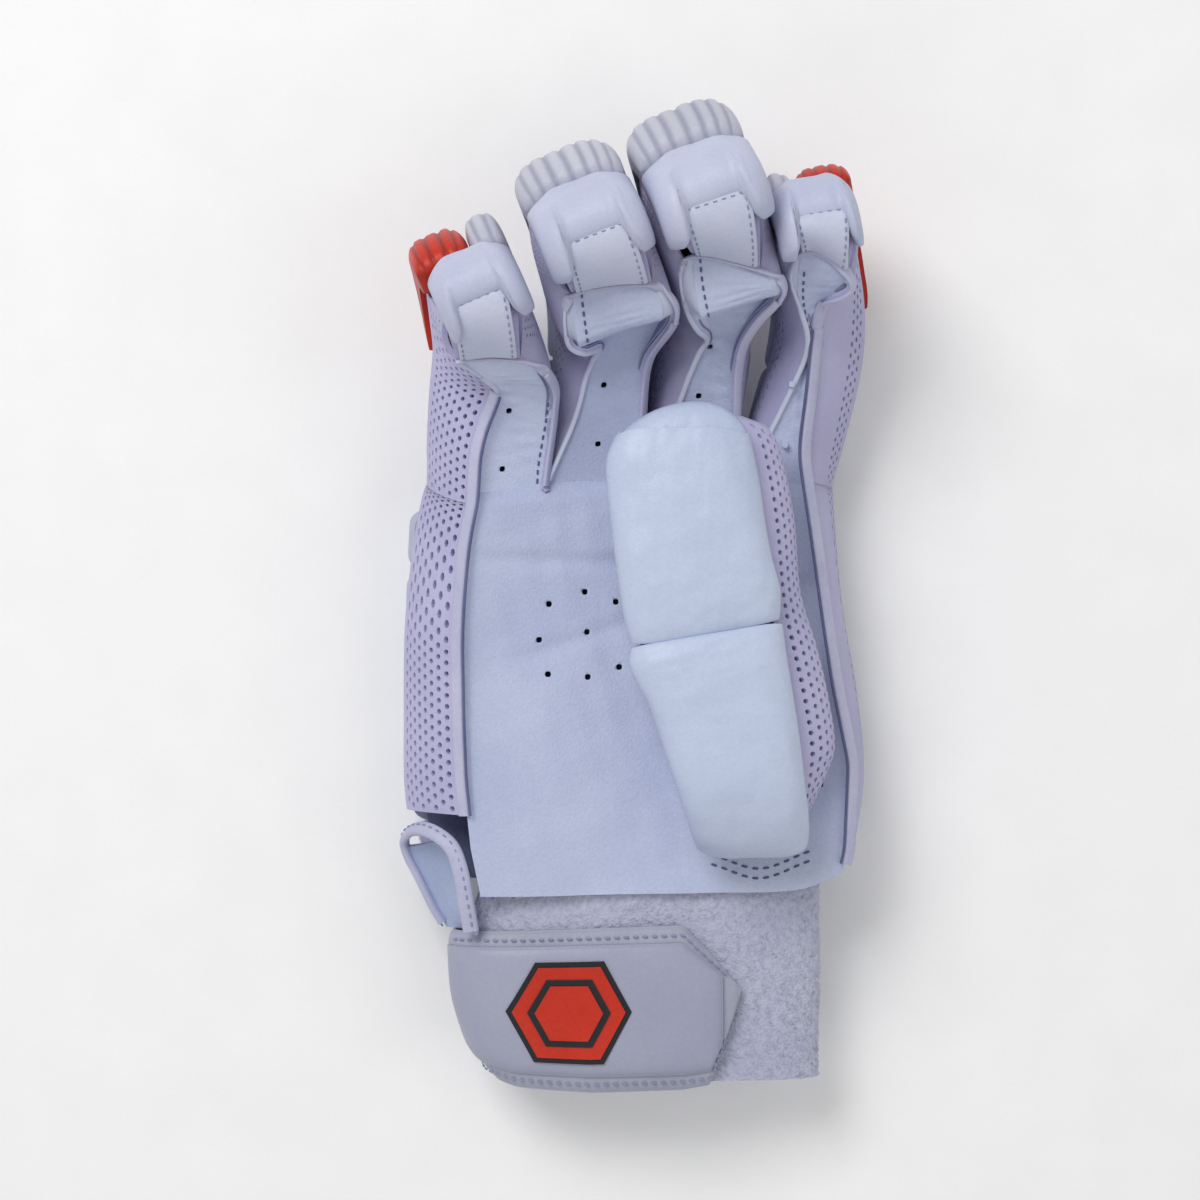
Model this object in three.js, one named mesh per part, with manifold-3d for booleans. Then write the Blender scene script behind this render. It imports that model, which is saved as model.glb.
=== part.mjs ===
// A cricket batting glove for the right hand, empty, lying on its padded back with the palm up.
// Frame, in millimetres: +Y runs from the wrist to the fingertips, +X to the thumb side, +Z up out of the palm.
// The floor is z = 0 and the origin is under the middle of the glove. The fingers curl up and back over the palm.
import * as THREE from "three";
import { mergeVertices } from "three/addons/utils/BufferGeometryUtils.js";
import Module from "manifold-3d";

const wasm = await Module();
wasm.setup();

// Walls and the gaps between pieces
const LEATHER = 1.4;
const MESH = 1.5;
const LINING = 2;
const TOWELLING = 3;
const SEAM_GAP = 0.4;
const PIPING_RADIUS = 1.2;
const BINDING_RADIUS = 2;

// The hand: the palm from the wrist seam to the knuckles, with the padded back under it
const WRIST_Y = -79;
const PALM_LENGTH = 111;
const PALM_WIDTH = 100;
const BACK_WIDTH = 124;
const HAND_HEIGHT = 40;
const PALM_CUP = 5.5;
const BACK_SAG = 8;
const SIDE_BULGE = 3;
const BACK_PADDING = 15;

// The fingers
const FINGER_CAVITY = 18;
const FINGER_PADDING = 12.5;
const FINGER_RISE = 10;
const ROLL_OVERHANG = 1;
const ROLL_SEAT = 0.7;
const TIP_DOME = 3;
const SIDE_SWELL = 0.8;
// Shares of a finger's length: where its depth stops following the hand's, and where its roll has levelled out
const ROOT_BLEND = 0.35;
const ROLL_LEVEL = 0.8;
// The share of the straight part where a finger starts to turn sideways
const TURN_FROM = 0.4;
const SLEEVE_STEPS = 120;

// The thumb, which lies over the palm
const THUMB_START = 15;
const THUMB_LENGTH = 115;
const THUMB_WIDTH = 38;
const THUMB_HEIGHT = 16;
const THUMB_ROOT = 0.78;
const THUMB_CLEARANCE = 5.4;
const THUMB_PADDING = 11;

// The cuff and its strap
const CUFF_LENGTH = 52;
const CUFF_WIDTH = 94;
const CUFF_HEIGHT = 24;
const CUFF_SQUARENESS = 2.7;
const CUFF_TUCK = 5;
// How much shorter the cuff's outline is than its box's, and how far its edges stop from the slit's middle
const CUFF_ROUNDING = 0.9;
const SLIT_EDGE = 7;
const STRAP_SEAT = 0.9;
const WRIST_PADDING = 9;
const WRIST_PAD_INSET = { left: 26, right: 14 };
const STRAP_WIDTH = 45;
const STRAP_LENGTH = 101;
const STRAP = 2.4;
const STRAP_PANEL = 1.2;
const PANEL_GAP = 0.8;
const PANEL_SHARE = { wide: 0.82, from: 0.22, to: 0.955 };
const BADGE = { width: 33, height: 28, thickness: 0.8, taper: 0.45, along: 0.545 };

const WHITE = "#dfe0ec";
const PALM_BLUE = "#c3cbe0";
const LILAC = "#d3d0e6";
const RED = "#e23a1e";

// Sections of the hand, from the wrist (at 0) to the knuckles (at 1). Edges are shares of PALM_WIDTH or
// BACK_WIDTH, heights of HAND_HEIGHT, cup of PALM_CUP and sag of BACK_SAG.
const HAND = [
  { at: 0.0, palmLeft: -0.425, palmRight: 0.565, palmLeftZ: 0.94, palmRightZ: 0.925, cup: 0.0,
    backLeft: -0.465, backRight: 0.47, backLeftZ: 0.35, backRightZ: 0.35, sag: 0.62 },
  { at: 0.2, palmLeft: -0.47, palmRight: 0.573, palmLeftZ: 0.965, palmRightZ: 0.91, cup: 0.15,
    backLeft: -0.515, backRight: 0.508, backLeftZ: 0.42, backRightZ: 0.42, sag: 0.8 },
  { at: 0.43, palmLeft: -0.478, palmRight: 0.552, palmLeftZ: 1.0, palmRightZ: 0.9, cup: 0.45,
    backLeft: -0.52, backRight: 0.498, backLeftZ: 0.5, backRightZ: 0.46, sag: 0.95 },
  { at: 0.72, palmLeft: -0.48, palmRight: 0.505, palmLeftZ: 1.05, palmRightZ: 0.888, cup: 0.8,
    backLeft: -0.515, backRight: 0.458, backLeftZ: 0.58, backRightZ: 0.48, sag: 0.9 },
  { at: 1.0, palmLeft: -0.435, palmRight: 0.46, palmLeftZ: 1.075, palmRightZ: 0.875, cup: 1.0,
    backLeft: -0.5, backRight: 0.445, backLeftZ: 0.665, backRightZ: 0.44, sag: 0.79 },
];

// Where the hand starts and ends across its width, from the left seam (at 0) to the right: the wrist edge and
// the line of the knuckles, as shares of PALM_LENGTH.
const HAND_ENDS = [
  { at: 0.0, wrist: -0.01, knuckles: 0.985 },
  { at: 0.12, wrist: -0.01, knuckles: 0.99 },
  { at: 0.36, wrist: -0.005, knuckles: 1.01 },
  { at: 0.64, wrist: 0.0, knuckles: 1.045 },
  { at: 0.88, wrist: 0.008, knuckles: 1.02 },
  { at: 1.0, wrist: 0.05, knuckles: 1.01 },
];

// The fingers, from the little finger to the index. place is where the finger starts across the palm;
// bend is the radius of the curled joint, curl the pitch of the straight tip beyond it, and the turns are
// azimuths clockwise from +Y, all in degrees.
const FINGERS = [
  { name: "little", place: 0.103, straight: 40.4, bend: 11, tip: 11, curl: 125, startTurn: -1.5, endTurn: -24,
    width: 24, tipWidth: 23, fold: 0.5, outer: -1, flare: 7.5, colour: RED },
  { name: "ring", place: 0.359, straight: 57.7, bend: 12, tip: 17, curl: 128, startTurn: 5, endTurn: -22,
    width: 24.2, tipWidth: 26.5, fold: 1.5, outer: 0, flare: 0, colour: WHITE },
  { name: "middle", place: 0.642, straight: 64.8, bend: 12, tip: 19, curl: 130, startTurn: 8, endTurn: -20,
    width: 24.4, tipWidth: 27.5, fold: 1.5, outer: 0, flare: 0, colour: WHITE },
  { name: "index", place: 0.9, straight: 54.5, bend: 11, tip: 13, curl: 109, startTurn: 16, endTurn: -12,
    width: 21.5, tipWidth: 21.5, fold: 0.5, outer: 1, flare: 5, colour: RED },
];

// Sections of a finger, from its base (at 0) to its tip (at 1). widen goes from the base width (0) to the
// tip width (1), strip and back are shares of that width, rise and drop of FINGER_CAVITY, fold of the
// finger's own fold and flare of its own flare.
const FINGER_SECTIONS = [
  { at: 0.0, widen: 0.0, strip: 0.8, back: 1.0, rise: 0.5, drop: 0.5, fold: 0.0, flare: 1.0 },
  { at: 0.35, widen: 0.3, strip: 0.64, back: 1.0, rise: 0.47, drop: 0.48, fold: 0.0, flare: 0.85 },
  { at: 0.58, widen: 0.8, strip: 0.66, back: 1.0, rise: 0.45, drop: 0.46, fold: 0.2, flare: 0.5 },
  { at: 0.75, widen: 1.0, strip: 0.82, back: 1.0, rise: 0.42, drop: 0.45, fold: 0.5, flare: 0.1 },
  { at: 0.9, widen: 1.0, strip: 0.84, back: 0.98, rise: 0.42, drop: 0.44, fold: 1.0, flare: 0.0 },
  { at: 1.0, widen: 1.0, strip: 0.72, back: 0.86, rise: 0.4, drop: 0.43, fold: 0.1, flare: 0.0 },
];

// The padded rolls along the back of a finger, as shares of its length. puff is the share of FINGER_PADDING.
const FINGER_ROLLS = [
  { name: "knuckle_roll", from: 0.06, to: 0.3, puff: 1.0, steps: 5 },
  { name: "lower_roll", from: 0.315, to: 0.525, puff: 0.97, steps: 5 },
  { name: "pleated_roll", from: 0.54, to: 0.805, puff: 1.0, steps: 10 },
  { name: "tip_roll", from: 0.82, to: 1.02, puff: 0.88, steps: 5 },
];

// The padded rolls across the back of the hand, as shares of its length.
const HAND_ROLLS = [
  { name: "back_roll_wrist", from: 0.02, to: 0.31 },
  { name: "back_roll_middle", from: 0.32, to: 0.63 },
  { name: "back_roll_knuckle", from: 0.64, to: 0.95 },
];

// Sections of the thumb stall, from its base (at 0) to its tip (at 1). Edges are shares of THUMB_WIDTH and
// heights of THUMB_HEIGHT over the stall's floor; bulge, of THUMB_WIDTH, is how far the mesh side stands out.
const THUMB = [
  { at: 0.0, topLeft: 0.45, topRight: 1.13, lowLeft: 0.42, lowRight: 1.16, top: 0.22, low: -0.31, bulge: 0.0 },
  { at: 0.06, topLeft: 0.42, topRight: 1.13, lowLeft: 0.38, lowRight: 1.2, top: 0.68, low: -0.335, bulge: 0.04 },
  { at: 0.17, topLeft: 0.29, topRight: 1.11, lowLeft: 0.27, lowRight: 1.24, top: 0.95, low: -0.345, bulge: 0.1 },
  { at: 0.33, topLeft: 0.13, topRight: 1.04, lowLeft: 0.11, lowRight: 1.19, top: 1.0, low: -0.24, bulge: 0.12 },
  { at: 0.48, topLeft: 0.0, topRight: 0.95, lowLeft: 0.0, lowRight: 1.1, top: 1.0, low: 0.0, bulge: 0.11 },
  { at: 0.65, topLeft: -0.08, topRight: 0.9, lowLeft: -0.05, lowRight: 1.0, top: 1.0, low: 0.0, bulge: 0.1 },
  { at: 0.83, topLeft: -0.12, topRight: 0.83, lowLeft: -0.09, lowRight: 0.9, top: 1.0, low: 0.0, bulge: 0.09 },
  { at: 0.94, topLeft: -0.05, topRight: 0.75, lowLeft: -0.02, lowRight: 0.79, top: 0.92, low: 0.05, bulge: 0.06 },
  { at: 1.0, topLeft: 0.14, topRight: 0.6, lowLeft: 0.14, lowRight: 0.6, top: 0.5, low: 0.2, bulge: 0.0 },
];
// The stall's underside starts here; nearer the base it is open to the hand through a hole in the palm.
const THUMB_FLOOR_FROM = 0.36;
const THUMB_HOLE = { from: 0.075, to: 0.3, inset: 3.5 };

// The outlines of the two thumb pads, as shares of THUMB_LENGTH and THUMB_WIDTH, each from its wrist end.
const THUMB_PADS = [
  { name: "thumb_pad_lower", rows: [
    { at: 0.005, left: 0.42, right: 1.12 },
    { at: 0.035, left: 0.385, right: 1.19 },
    { at: 0.16, left: 0.245, right: 1.15 },
    { at: 0.3, left: 0.095, right: 1.08 },
    { at: 0.43, left: -0.045, right: 0.975 },
    { at: 0.449, left: -0.06, right: 0.955 },
  ] },
  { name: "thumb_pad_upper", rows: [
    { at: 0.458, left: -0.045, right: 0.955 },
    { at: 0.49, left: -0.065, right: 0.97 },
    { at: 0.72, left: -0.18, right: 0.885 },
    { at: 0.86, left: -0.215, right: 0.81 },
    { at: 0.945, left: -0.18, right: 0.75 },
    { at: 0.99, left: 0.0, right: 0.66 },
    { at: 1.01, left: 0.18, right: 0.54 },
  ] },
];

// Sections of the cuff, from the palm (at 0) to its open end (at 1). Edges are shares of CUFF_WIDTH, heights
// of HAND_HEIGHT.
const CUFF = [
  { at: 0.0, left: -0.475, right: 0.54, low: 0.325, high: 0.885 },
  { at: 0.25, left: -0.52, right: 0.54, low: 0.245, high: 0.86 },
  { at: 0.55, left: -0.5, right: 0.54, low: 0.225, high: 0.85 },
  { at: 0.8, left: -0.455, right: 0.54, low: 0.22, high: 0.83 },
  { at: 1.0, left: -0.4, right: 0.54, low: 0.22, high: 0.82 },
];

// The strap's edges along its length, from the end sewn under the cuff (at 0) to the point: shares of
// STRAP_WIDTH from its upper edge towards the open end.
const STRAP_EDGES = [
  { at: 0.0, upper: 0.1, lower: 0.86 },
  { at: 0.17, upper: 0.06, lower: 0.88 },
  { at: 0.4, upper: 0.04, lower: 1.0 },
  { at: 0.6, upper: 0.02, lower: 1.02 },
  { at: 0.845, upper: 0.0, lower: 1.0 },
  { at: 0.92, upper: 0.17, lower: 0.97 },
  { at: 1.0, upper: 0.38, lower: 0.43 },
];
const STRAP_START = -22;
const STRAP_SETBACK = 9;

// The open slit at the left of the wrist: its binding runs up the palm's edge, over and down the back's edge.
// along and across are shares of CUFF_LENGTH and PALM_WIDTH, height of HAND_HEIGHT.
const SLIT_BINDING = [
  { along: -0.2, across: -0.45, height: 0.9 },
  { along: -0.05, across: -0.462, height: 0.95 },
  { along: 0.12, across: -0.478, height: 0.96 },
  { along: 0.245, across: -0.505, height: 0.94 },
  { along: 0.315, across: -0.56, height: 0.87 },
  { along: 0.315, across: -0.61, height: 0.72 },
  { along: 0.25, across: -0.64, height: 0.58 },
  { along: 0.15, across: -0.63, height: 0.53 },
  { along: 0.02, across: -0.595, height: 0.52 },
  { along: -0.11, across: -0.56, height: 0.52 },
  { along: -0.19, across: -0.535, height: 0.52 },
];

const radians = THREE.MathUtils.degToRad;
const mix = THREE.MathUtils.lerp;
const share = (value, low, high) => Math.min(1, Math.max(0, (value - low) / (high - low)));
const ease = (t) => t * t * (3 - 2 * t);

// The value of a table's column at a share of its length: a smooth curve through the rows.
function column(rows, name, at) {
  const last = rows.length - 1;
  const t = Math.min(rows[last].at, Math.max(rows[0].at, at));
  let i = 0;
  while (i < last - 1 && t > rows[i + 1].at) i += 1;
  const slope = (k) => {
    const a = rows[Math.max(0, k - 1)];
    const b = rows[Math.min(last, k + 1)];
    return (b[name] - a[name]) / (b.at - a.at);
  };
  const span = rows[i + 1].at - rows[i].at;
  const s = (t - rows[i].at) / span;
  const pull = s * (1 - s) * span;
  return mix(rows[i][name], rows[i + 1][name], ease(s)) + pull * ((1 - s) * slope(i) - s * slope(i + 1));
}

// The value of a column along straight lines between the rows.
function straightColumn(rows, name, at) {
  const i = Math.max(1, rows.findIndex((row, k) => k > 0 && at <= row.at));
  const k = at > rows[rows.length - 1].at ? rows.length - 1 : i;
  return mix(rows[k - 1][name], rows[k][name], share(at, rows[k - 1].at, rows[k].at));
}

// A surface's unit normal, turned to point away from the given inner point.
function outward(surface, u, v, inner) {
  const step = 1e-3;
  const du = surface(u + step, v).sub(surface(u - step, v));
  const dv = surface(u, v + step).sub(surface(u, v - step));
  const normal = du.cross(dv).normalize();
  const point = surface(0.5, 0.5);
  const middle = surface(0.5 + step, 0.5).sub(surface(0.5 - step, 0.5))
    .cross(surface(0.5, 0.5 + step).sub(surface(0.5, 0.5 - step)));
  return middle.dot(point.sub(inner)) < 0 ? normal.negate() : normal;
}

// A closed geometry between two grids of points, each grid given as point(i, j).
function betweenGrids(outer, inner, nu, nv) {
  const positions = [];
  const index = [];
  const at = (side, i, j) => side * (nu + 1) * (nv + 1) + i * (nv + 1) + j;
  for (const grid of [outer, inner])
    for (let i = 0; i <= nu; i += 1)
      for (let j = 0; j <= nv; j += 1) positions.push(...grid(i, j).toArray());
  const quad = (a, b, c, d) => index.push(a, b, c, a, c, d);
  for (let i = 0; i < nu; i += 1)
    for (let j = 0; j < nv; j += 1) {
      quad(at(0, i, j), at(0, i + 1, j), at(0, i + 1, j + 1), at(0, i, j + 1));
      quad(at(1, i, j), at(1, i, j + 1), at(1, i + 1, j + 1), at(1, i + 1, j));
    }
  for (let i = 0; i < nu; i += 1) {
    quad(at(0, i, 0), at(1, i, 0), at(1, i + 1, 0), at(0, i + 1, 0));
    quad(at(0, i, nv), at(0, i + 1, nv), at(1, i + 1, nv), at(1, i, nv));
  }
  for (let j = 0; j < nv; j += 1) {
    quad(at(0, 0, j), at(0, 0, j + 1), at(1, 0, j + 1), at(1, 0, j));
    quad(at(0, nu, j), at(1, nu, j), at(1, nu, j + 1), at(0, nu, j + 1));
  }
  const geometry = new THREE.BufferGeometry();
  geometry.setAttribute("position", new THREE.Float32BufferAttribute(positions, 3));
  geometry.setIndex(index);
  return facingOut(geometry);
}

// The same geometry with its faces turned to point out.
function facingOut(geometry) {
  const p = geometry.attributes.position;
  const corner = (k) => new THREE.Vector3().fromBufferAttribute(p, geometry.index.getX(k));
  let volume = 0;
  for (let k = 0; k < geometry.index.count; k += 3)
    volume += corner(k).dot(corner(k + 1).cross(corner(k + 2)));
  if (volume < 0) {
    const turned = Array.from(geometry.index.array);
    for (let k = 0; k < turned.length; k += 3) [turned[k + 1], turned[k + 2]] = [turned[k + 2], turned[k + 1]];
    geometry.setIndex(turned);
  }
  geometry.computeVertexNormals();
  return geometry;
}

// A wall of one thickness on a surface, over a range of both parameters. It lies from outer to inner, heights
// over the surface on the side away from the inner point.
function wall(surface, inner, { u = [0, 1], v = [0, 1], nu, nv, outerHeight = 0, innerHeight }) {
  const grid = (height) => (i, j) => {
    const a = mix(u[0], u[1], i / nu);
    const b = typeof v[0] === "function"
      ? mix(v[0](a), v[1](a), j / nv)
      : mix(v[0], v[1], j / nv);
    return surface(a, b).addScaledVector(outward(surface, a, b, inner), height);
  };
  return betweenGrids(grid(outerHeight), grid(innerHeight), nu, nv);
}

// A stuffed roll or pad on a surface: flat against it, crowned on the other side and rounded at its edges.
// floor, where given, is the height that it is flattened at because it rests there.
function pillow(surface, inner, { u = [0, 1], v = [0, 1], nu, nv, gap, puff, edge = 0.3, floor = null }) {
  const place = (k, n, [low, high]) => mix(low, high, 0.5 - 0.5 * Math.cos((Math.PI * k) / n));
  const crown = (k, n) => {
    const off = Math.abs(Math.cos((Math.PI * k) / n));
    return Math.sqrt(Math.max(0, 1 - off ** 3.2));
  };
  const grid = (height) => (i, j) => {
    const a = place(i, nu, u);
    const b = place(j, nv, v);
    const point = surface(a, b).addScaledVector(outward(surface, a, b, inner), height(i, j));
    if (floor !== null) point.z = Math.max(point.z, floor);
    return point;
  };
  const rise = (i, j) => gap + puff * (edge + (1 - edge) * crown(i, nu) * crown(j, nv));
  return betweenGrids(grid(rise), grid(() => gap), nu, nv);
}

// A round tube through points.
function tube(points, radius, steps) {
  const ring = new THREE.Shape();
  ring.absarc(0, 0, radius, 0, Math.PI * 2);
  const path = new THREE.CatmullRomCurve3(points, false, "centripetal");
  return new THREE.ExtrudeGeometry(ring, { steps, curveSegments: 3, extrudePath: path, bevelEnabled: false });
}

// three.js geometry to a manifold-3d solid and back, for the pieces that are joined or cut.
function toSolid(geometry) {
  const bare = geometry.clone();
  bare.deleteAttribute("normal");
  bare.deleteAttribute("uv");
  const merged = mergeVertices(bare, 1e-4);
  return new wasm.Manifold(new wasm.Mesh({
    numProp: 3,
    vertProperties: merged.attributes.position.array,
    triVerts: new Uint32Array(merged.index.array),
  }));
}

function toGeometry(solid) {
  const mesh = solid.getMesh();
  const geometry = new THREE.BufferGeometry();
  geometry.setAttribute("position", new THREE.BufferAttribute(mesh.vertProperties, 3));
  geometry.setIndex(new THREE.BufferAttribute(mesh.triVerts, 1));
  geometry.computeVertexNormals();
  return geometry;
}

const glove = new THREE.Group();

function addPiece(name, geometry, color, roughness = 0.6) {
  const piece = new THREE.Mesh(geometry, new THREE.MeshStandardMaterial({ color, roughness, metalness: 0 }));
  piece.name = name;
  glove.add(piece);
}

// The hand's section at u: its four corners in the XZ plane, as {left, right} of the palm and of the back.
function handSection(u) {
  const get = (name) => column(HAND, name, u);
  return {
    palmLeft: { x: get("palmLeft") * PALM_WIDTH, z: get("palmLeftZ") * HAND_HEIGHT },
    palmRight: { x: get("palmRight") * PALM_WIDTH, z: get("palmRightZ") * HAND_HEIGHT },
    backLeft: { x: get("backLeft") * BACK_WIDTH, z: get("backLeftZ") * HAND_HEIGHT },
    backRight: { x: get("backRight") * BACK_WIDTH, z: get("backRightZ") * HAND_HEIGHT },
    cup: get("cup") * PALM_CUP,
    sag: get("sag") * BACK_SAG,
  };
}

const handY = (u, v) => {
  const [low, high] = ["wrist", "knuckles"].map((name) => column(HAND_ENDS, name, v) * PALM_LENGTH);
  return WRIST_Y + mix(low, high, u);
};
const arch = (v) => 4 * v * (1 - v);

// The hand's four surfaces. u runs from the wrist to the knuckles; v from left to right, or from back to palm.
const handPalm = (u, v) => {
  const s = handSection(u);
  const z = mix(s.palmLeft.z, s.palmRight.z, v) - s.cup * arch(v);
  return new THREE.Vector3(mix(s.palmLeft.x, s.palmRight.x, v), handY(u, v), z);
};
const handBack = (u, v) => {
  const s = handSection(u);
  const z = mix(s.backLeft.z, s.backRight.z, v) - s.sag * arch(v);
  return new THREE.Vector3(mix(s.backLeft.x, s.backRight.x, v), handY(u, v), z);
};
const handSide = (side) => (u, v) => {
  const s = handSection(u);
  const low = side < 0 ? s.backLeft : s.backRight;
  const high = side < 0 ? s.palmLeft : s.palmRight;
  const x = mix(low.x, high.x, v) + side * SIDE_BULGE * arch(v);
  return new THREE.Vector3(x, handY(u, side < 0 ? 0 : 1), mix(low.z, high.z, v));
};
const handMiddle = new THREE.Vector3(0, WRIST_Y + PALM_LENGTH / 2, HAND_HEIGHT * 0.65);

// A finger's axis: straight and slightly rising from the knuckle, then curled back over the palm.
function fingerSleeve(finger) {
  const start = handPalm(1, finger.place);
  const step = 0.01;
  const slope = handPalm(1, finger.place + step).sub(handPalm(1, finger.place - step));
  const roll = Math.atan2(-slope.z, slope.x);
  const arc = finger.bend * radians(finger.curl - FINGER_RISE);
  const length = finger.straight + arc + finger.tip;
  const turnFrom = finger.straight * TURN_FROM;
  const rootDepth = start.z - handBack(1, finger.place).z;
  const depth = (u) => mix(rootDepth, FINGER_CAVITY, ease(share(u, 0, ROOT_BLEND)));

  const directions = (s) => {
    const pitch = radians(FINGER_RISE + (finger.curl - FINGER_RISE) * share(s - finger.straight, 0, arc));
    const turn = radians(mix(finger.startTurn, finger.endTurn, ease(share(s, turnFrom, finger.straight + arc))));
    const lean = roll * (1 - ease(share(s, 0, length * ROLL_LEVEL)));
    const ahead = new THREE.Vector3(Math.sin(turn), Math.cos(turn), 0);
    const along = ahead.clone().multiplyScalar(Math.cos(pitch)).add(new THREE.Vector3(0, 0, Math.sin(pitch)));
    const level = new THREE.Vector3(Math.cos(turn), -Math.sin(turn), 0);
    const upright = level.clone().cross(along);
    const across = level.clone().multiplyScalar(Math.cos(lean)).addScaledVector(upright, -Math.sin(lean));
    const palmar = upright.clone().multiplyScalar(Math.cos(lean)).addScaledVector(level, Math.sin(lean));
    return { along, across, palmar };
  };

  const steps = SLEEVE_STEPS;
  const first = directions(0);
  const centres = [start.clone().addScaledVector(first.palmar, -rootDepth * FINGER_SECTIONS[0].rise)];
  for (let k = 0; k < steps; k += 1) {
    const middle = directions(((k + 0.5) * length) / steps);
    centres.push(centres[k].clone().addScaledVector(middle.along, length / steps));
  }
  const frame = (u) => {
    const { along, across, palmar } = directions(Math.min(1, Math.max(0, u)) * length);
    const k = Math.min(steps - 1, Math.max(0, Math.floor(u * steps)));
    const centre = centres[k].clone().lerp(centres[k + 1], u * steps - k);
    return { centre, along, across, palmar };
  };

  const section = (u) => {
    const get = (name) => column(FINGER_SECTIONS, name, u);
    const width = mix(finger.width, finger.tipWidth, get("widen"));
    const half = (width / 2) * get("back");
    const flare = finger.flare * get("flare");
    return {
      strip: (width / 2) * get("strip"),
      backLeft: -half - (finger.outer < 0 ? flare : 0),
      backRight: half + (finger.outer > 0 ? flare : 0),
      rise: depth(u) * get("rise") + finger.fold * get("fold"),
      drop: depth(u) * get("drop"),
    };
  };

  const place = (u, x, n) => {
    const f = frame(u);
    return f.centre.addScaledVector(f.across, x).addScaledVector(f.palmar, n);
  };
  return {
    frame,
    section,
    place,
    length,
    middle: frame(0.5).centre,
    strip: (u, v) => {
      const s = section(u);
      return place(u, mix(-s.strip, s.strip, v), s.rise);
    },
    backing: (u, v) => {
      const s = section(u);
      return place(u, mix(s.backLeft, s.backRight, v), -s.drop);
    },
    side: (which) => (u, v) => {
      const s = section(u);
      const low = which < 0 ? s.backLeft : s.backRight;
      return place(u, mix(low, which * s.strip, v) + which * SIDE_SWELL * arch(v), mix(-s.drop, s.rise, v));
    },
  };
}

const sleeves = FINGERS.map(fingerSleeve);

// Seam margins: how far a wall stops short of the corner that it shares with its neighbour. A side wall
// stands SIDE_FOOT over the back and stops SIDE_TOP, a share of its height, below the palm.
const cornerMargin = PIPING_RADIUS + 2 * SEAM_GAP;
const SIDE_FOOT = 3.5;
const SIDE_TOP = 0.1;
const footOf = (surface) => (w) => SIDE_FOOT / surface(w, 0).distanceTo(surface(w, 1));
const HEM = -1.2;

// The palm leather is one hide: the palm with the strips of the ring, middle and index fingers.
function palmLeather() {
  const palmSheet = wall(handPalm, handMiddle, {
    u: [0, 0.998],
    v: [(u) => HEM / handSpan(u), (u) => 1 - HEM / handSpan(u)],
    nu: 9,
    nv: 10,
    innerHeight: -LEATHER,
  });
  let hide = toSolid(palmSheet);
  for (const k of [1, 2, 3]) hide = hide.add(toSolid(fingerStrip(sleeves[k], [-0.05, 0.98])));
  return toGeometry(hide.subtract(toSolid(thumbHole())));
}

const handSpan = (u) => {
  const s = handSection(u);
  return s.palmRight.x - s.palmLeft.x;
};

function fingerStrip(sleeve, u) {
  const edge = (a) => cornerMargin / (2 * sleeve.section(a).strip);
  return wall(sleeve.strip, sleeve.middle, {
    u, v: [edge, (a) => 1 - edge(a)], nu: 20, nv: 1, innerHeight: -LEATHER,
  });
}

// The hole in the palm that opens into the thumb stall, as a cutter.
function thumbHole() {
  const corner = (at, side) => {
    const s = thumbSection(at);
    return side < 0 ? s.lowLeft + THUMB_HOLE.inset : s.lowRight - THUMB_HOLE.inset;
  };
  const low = (i, j) => {
    const at = mix(THUMB_HOLE.from, THUMB_HOLE.to, i / 4);
    return new THREE.Vector3(mix(corner(at, -1), corner(at, 1), j), thumbY(at), HAND_HEIGHT * 0.7);
  };
  const high = (i, j) => low(i, j).setZ(HAND_HEIGHT * 1.2);
  return betweenGrids(high, low, 4, 1);
}

// The back panel is one sheet too: the back of the hand with the backings of the four fingers.
function backPanel() {
  const sheet = wall(handBack, handMiddle, {
    u: [0.03, 1], v: [0.04, 0.96], nu: 8, nv: 10, innerHeight: -LINING,
  });
  let panel = toSolid(sheet);
  for (const sleeve of sleeves) {
    const backing = wall(sleeve.backing, sleeve.middle, {
      u: [-0.06, 1], v: [0.07, 0.93], nu: 26, nv: 1, innerHeight: -LINING,
    });
    panel = panel.add(toSolid(backing));
  }
  return toGeometry(panel);
}

// The crotch between two fingers: how far up a finger its wall is cut lower for it, as a share of the finger,
// how thick it is along the finger, and how far it reaches into the walls that it joins.
const CROTCH = { lowTo: 0.1, thick: 2.4, reach: 1.1 };

// The wall between two fingers: the side of one, the side of the next and the crotch that joins their roots.
function fourchette(a, b) {
  const right = a.side(1);
  const left = b.side(-1);
  const palmar = (u) => 1 - SIDE_TOP * (2 - share(u, 0, CROTCH.lowTo));
  const side = (surface, middle) => toSolid(wall(surface, middle, {
    v: [footOf(surface), palmar], nu: 15, nv: 2, innerHeight: -MESH,
  }));
  const root = (surface, j, reach) => {
    const point = surface(0, mix(footOf(surface)(0), palmar(0), j / 2));
    point.x += reach;
    return point;
  };
  const crotch = (y) => (i, j) => {
    const point = root(right, j, -CROTCH.reach).lerp(root(left, j, CROTCH.reach), i);
    point.y += y;
    return point;
  };
  const joint = betweenGrids(crotch(CROTCH.thick / 2), crotch(-CROTCH.thick / 2), 1, 2);
  return toGeometry(side(right, a.middle).add(side(left, b.middle)).add(toSolid(joint)));
}

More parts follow.
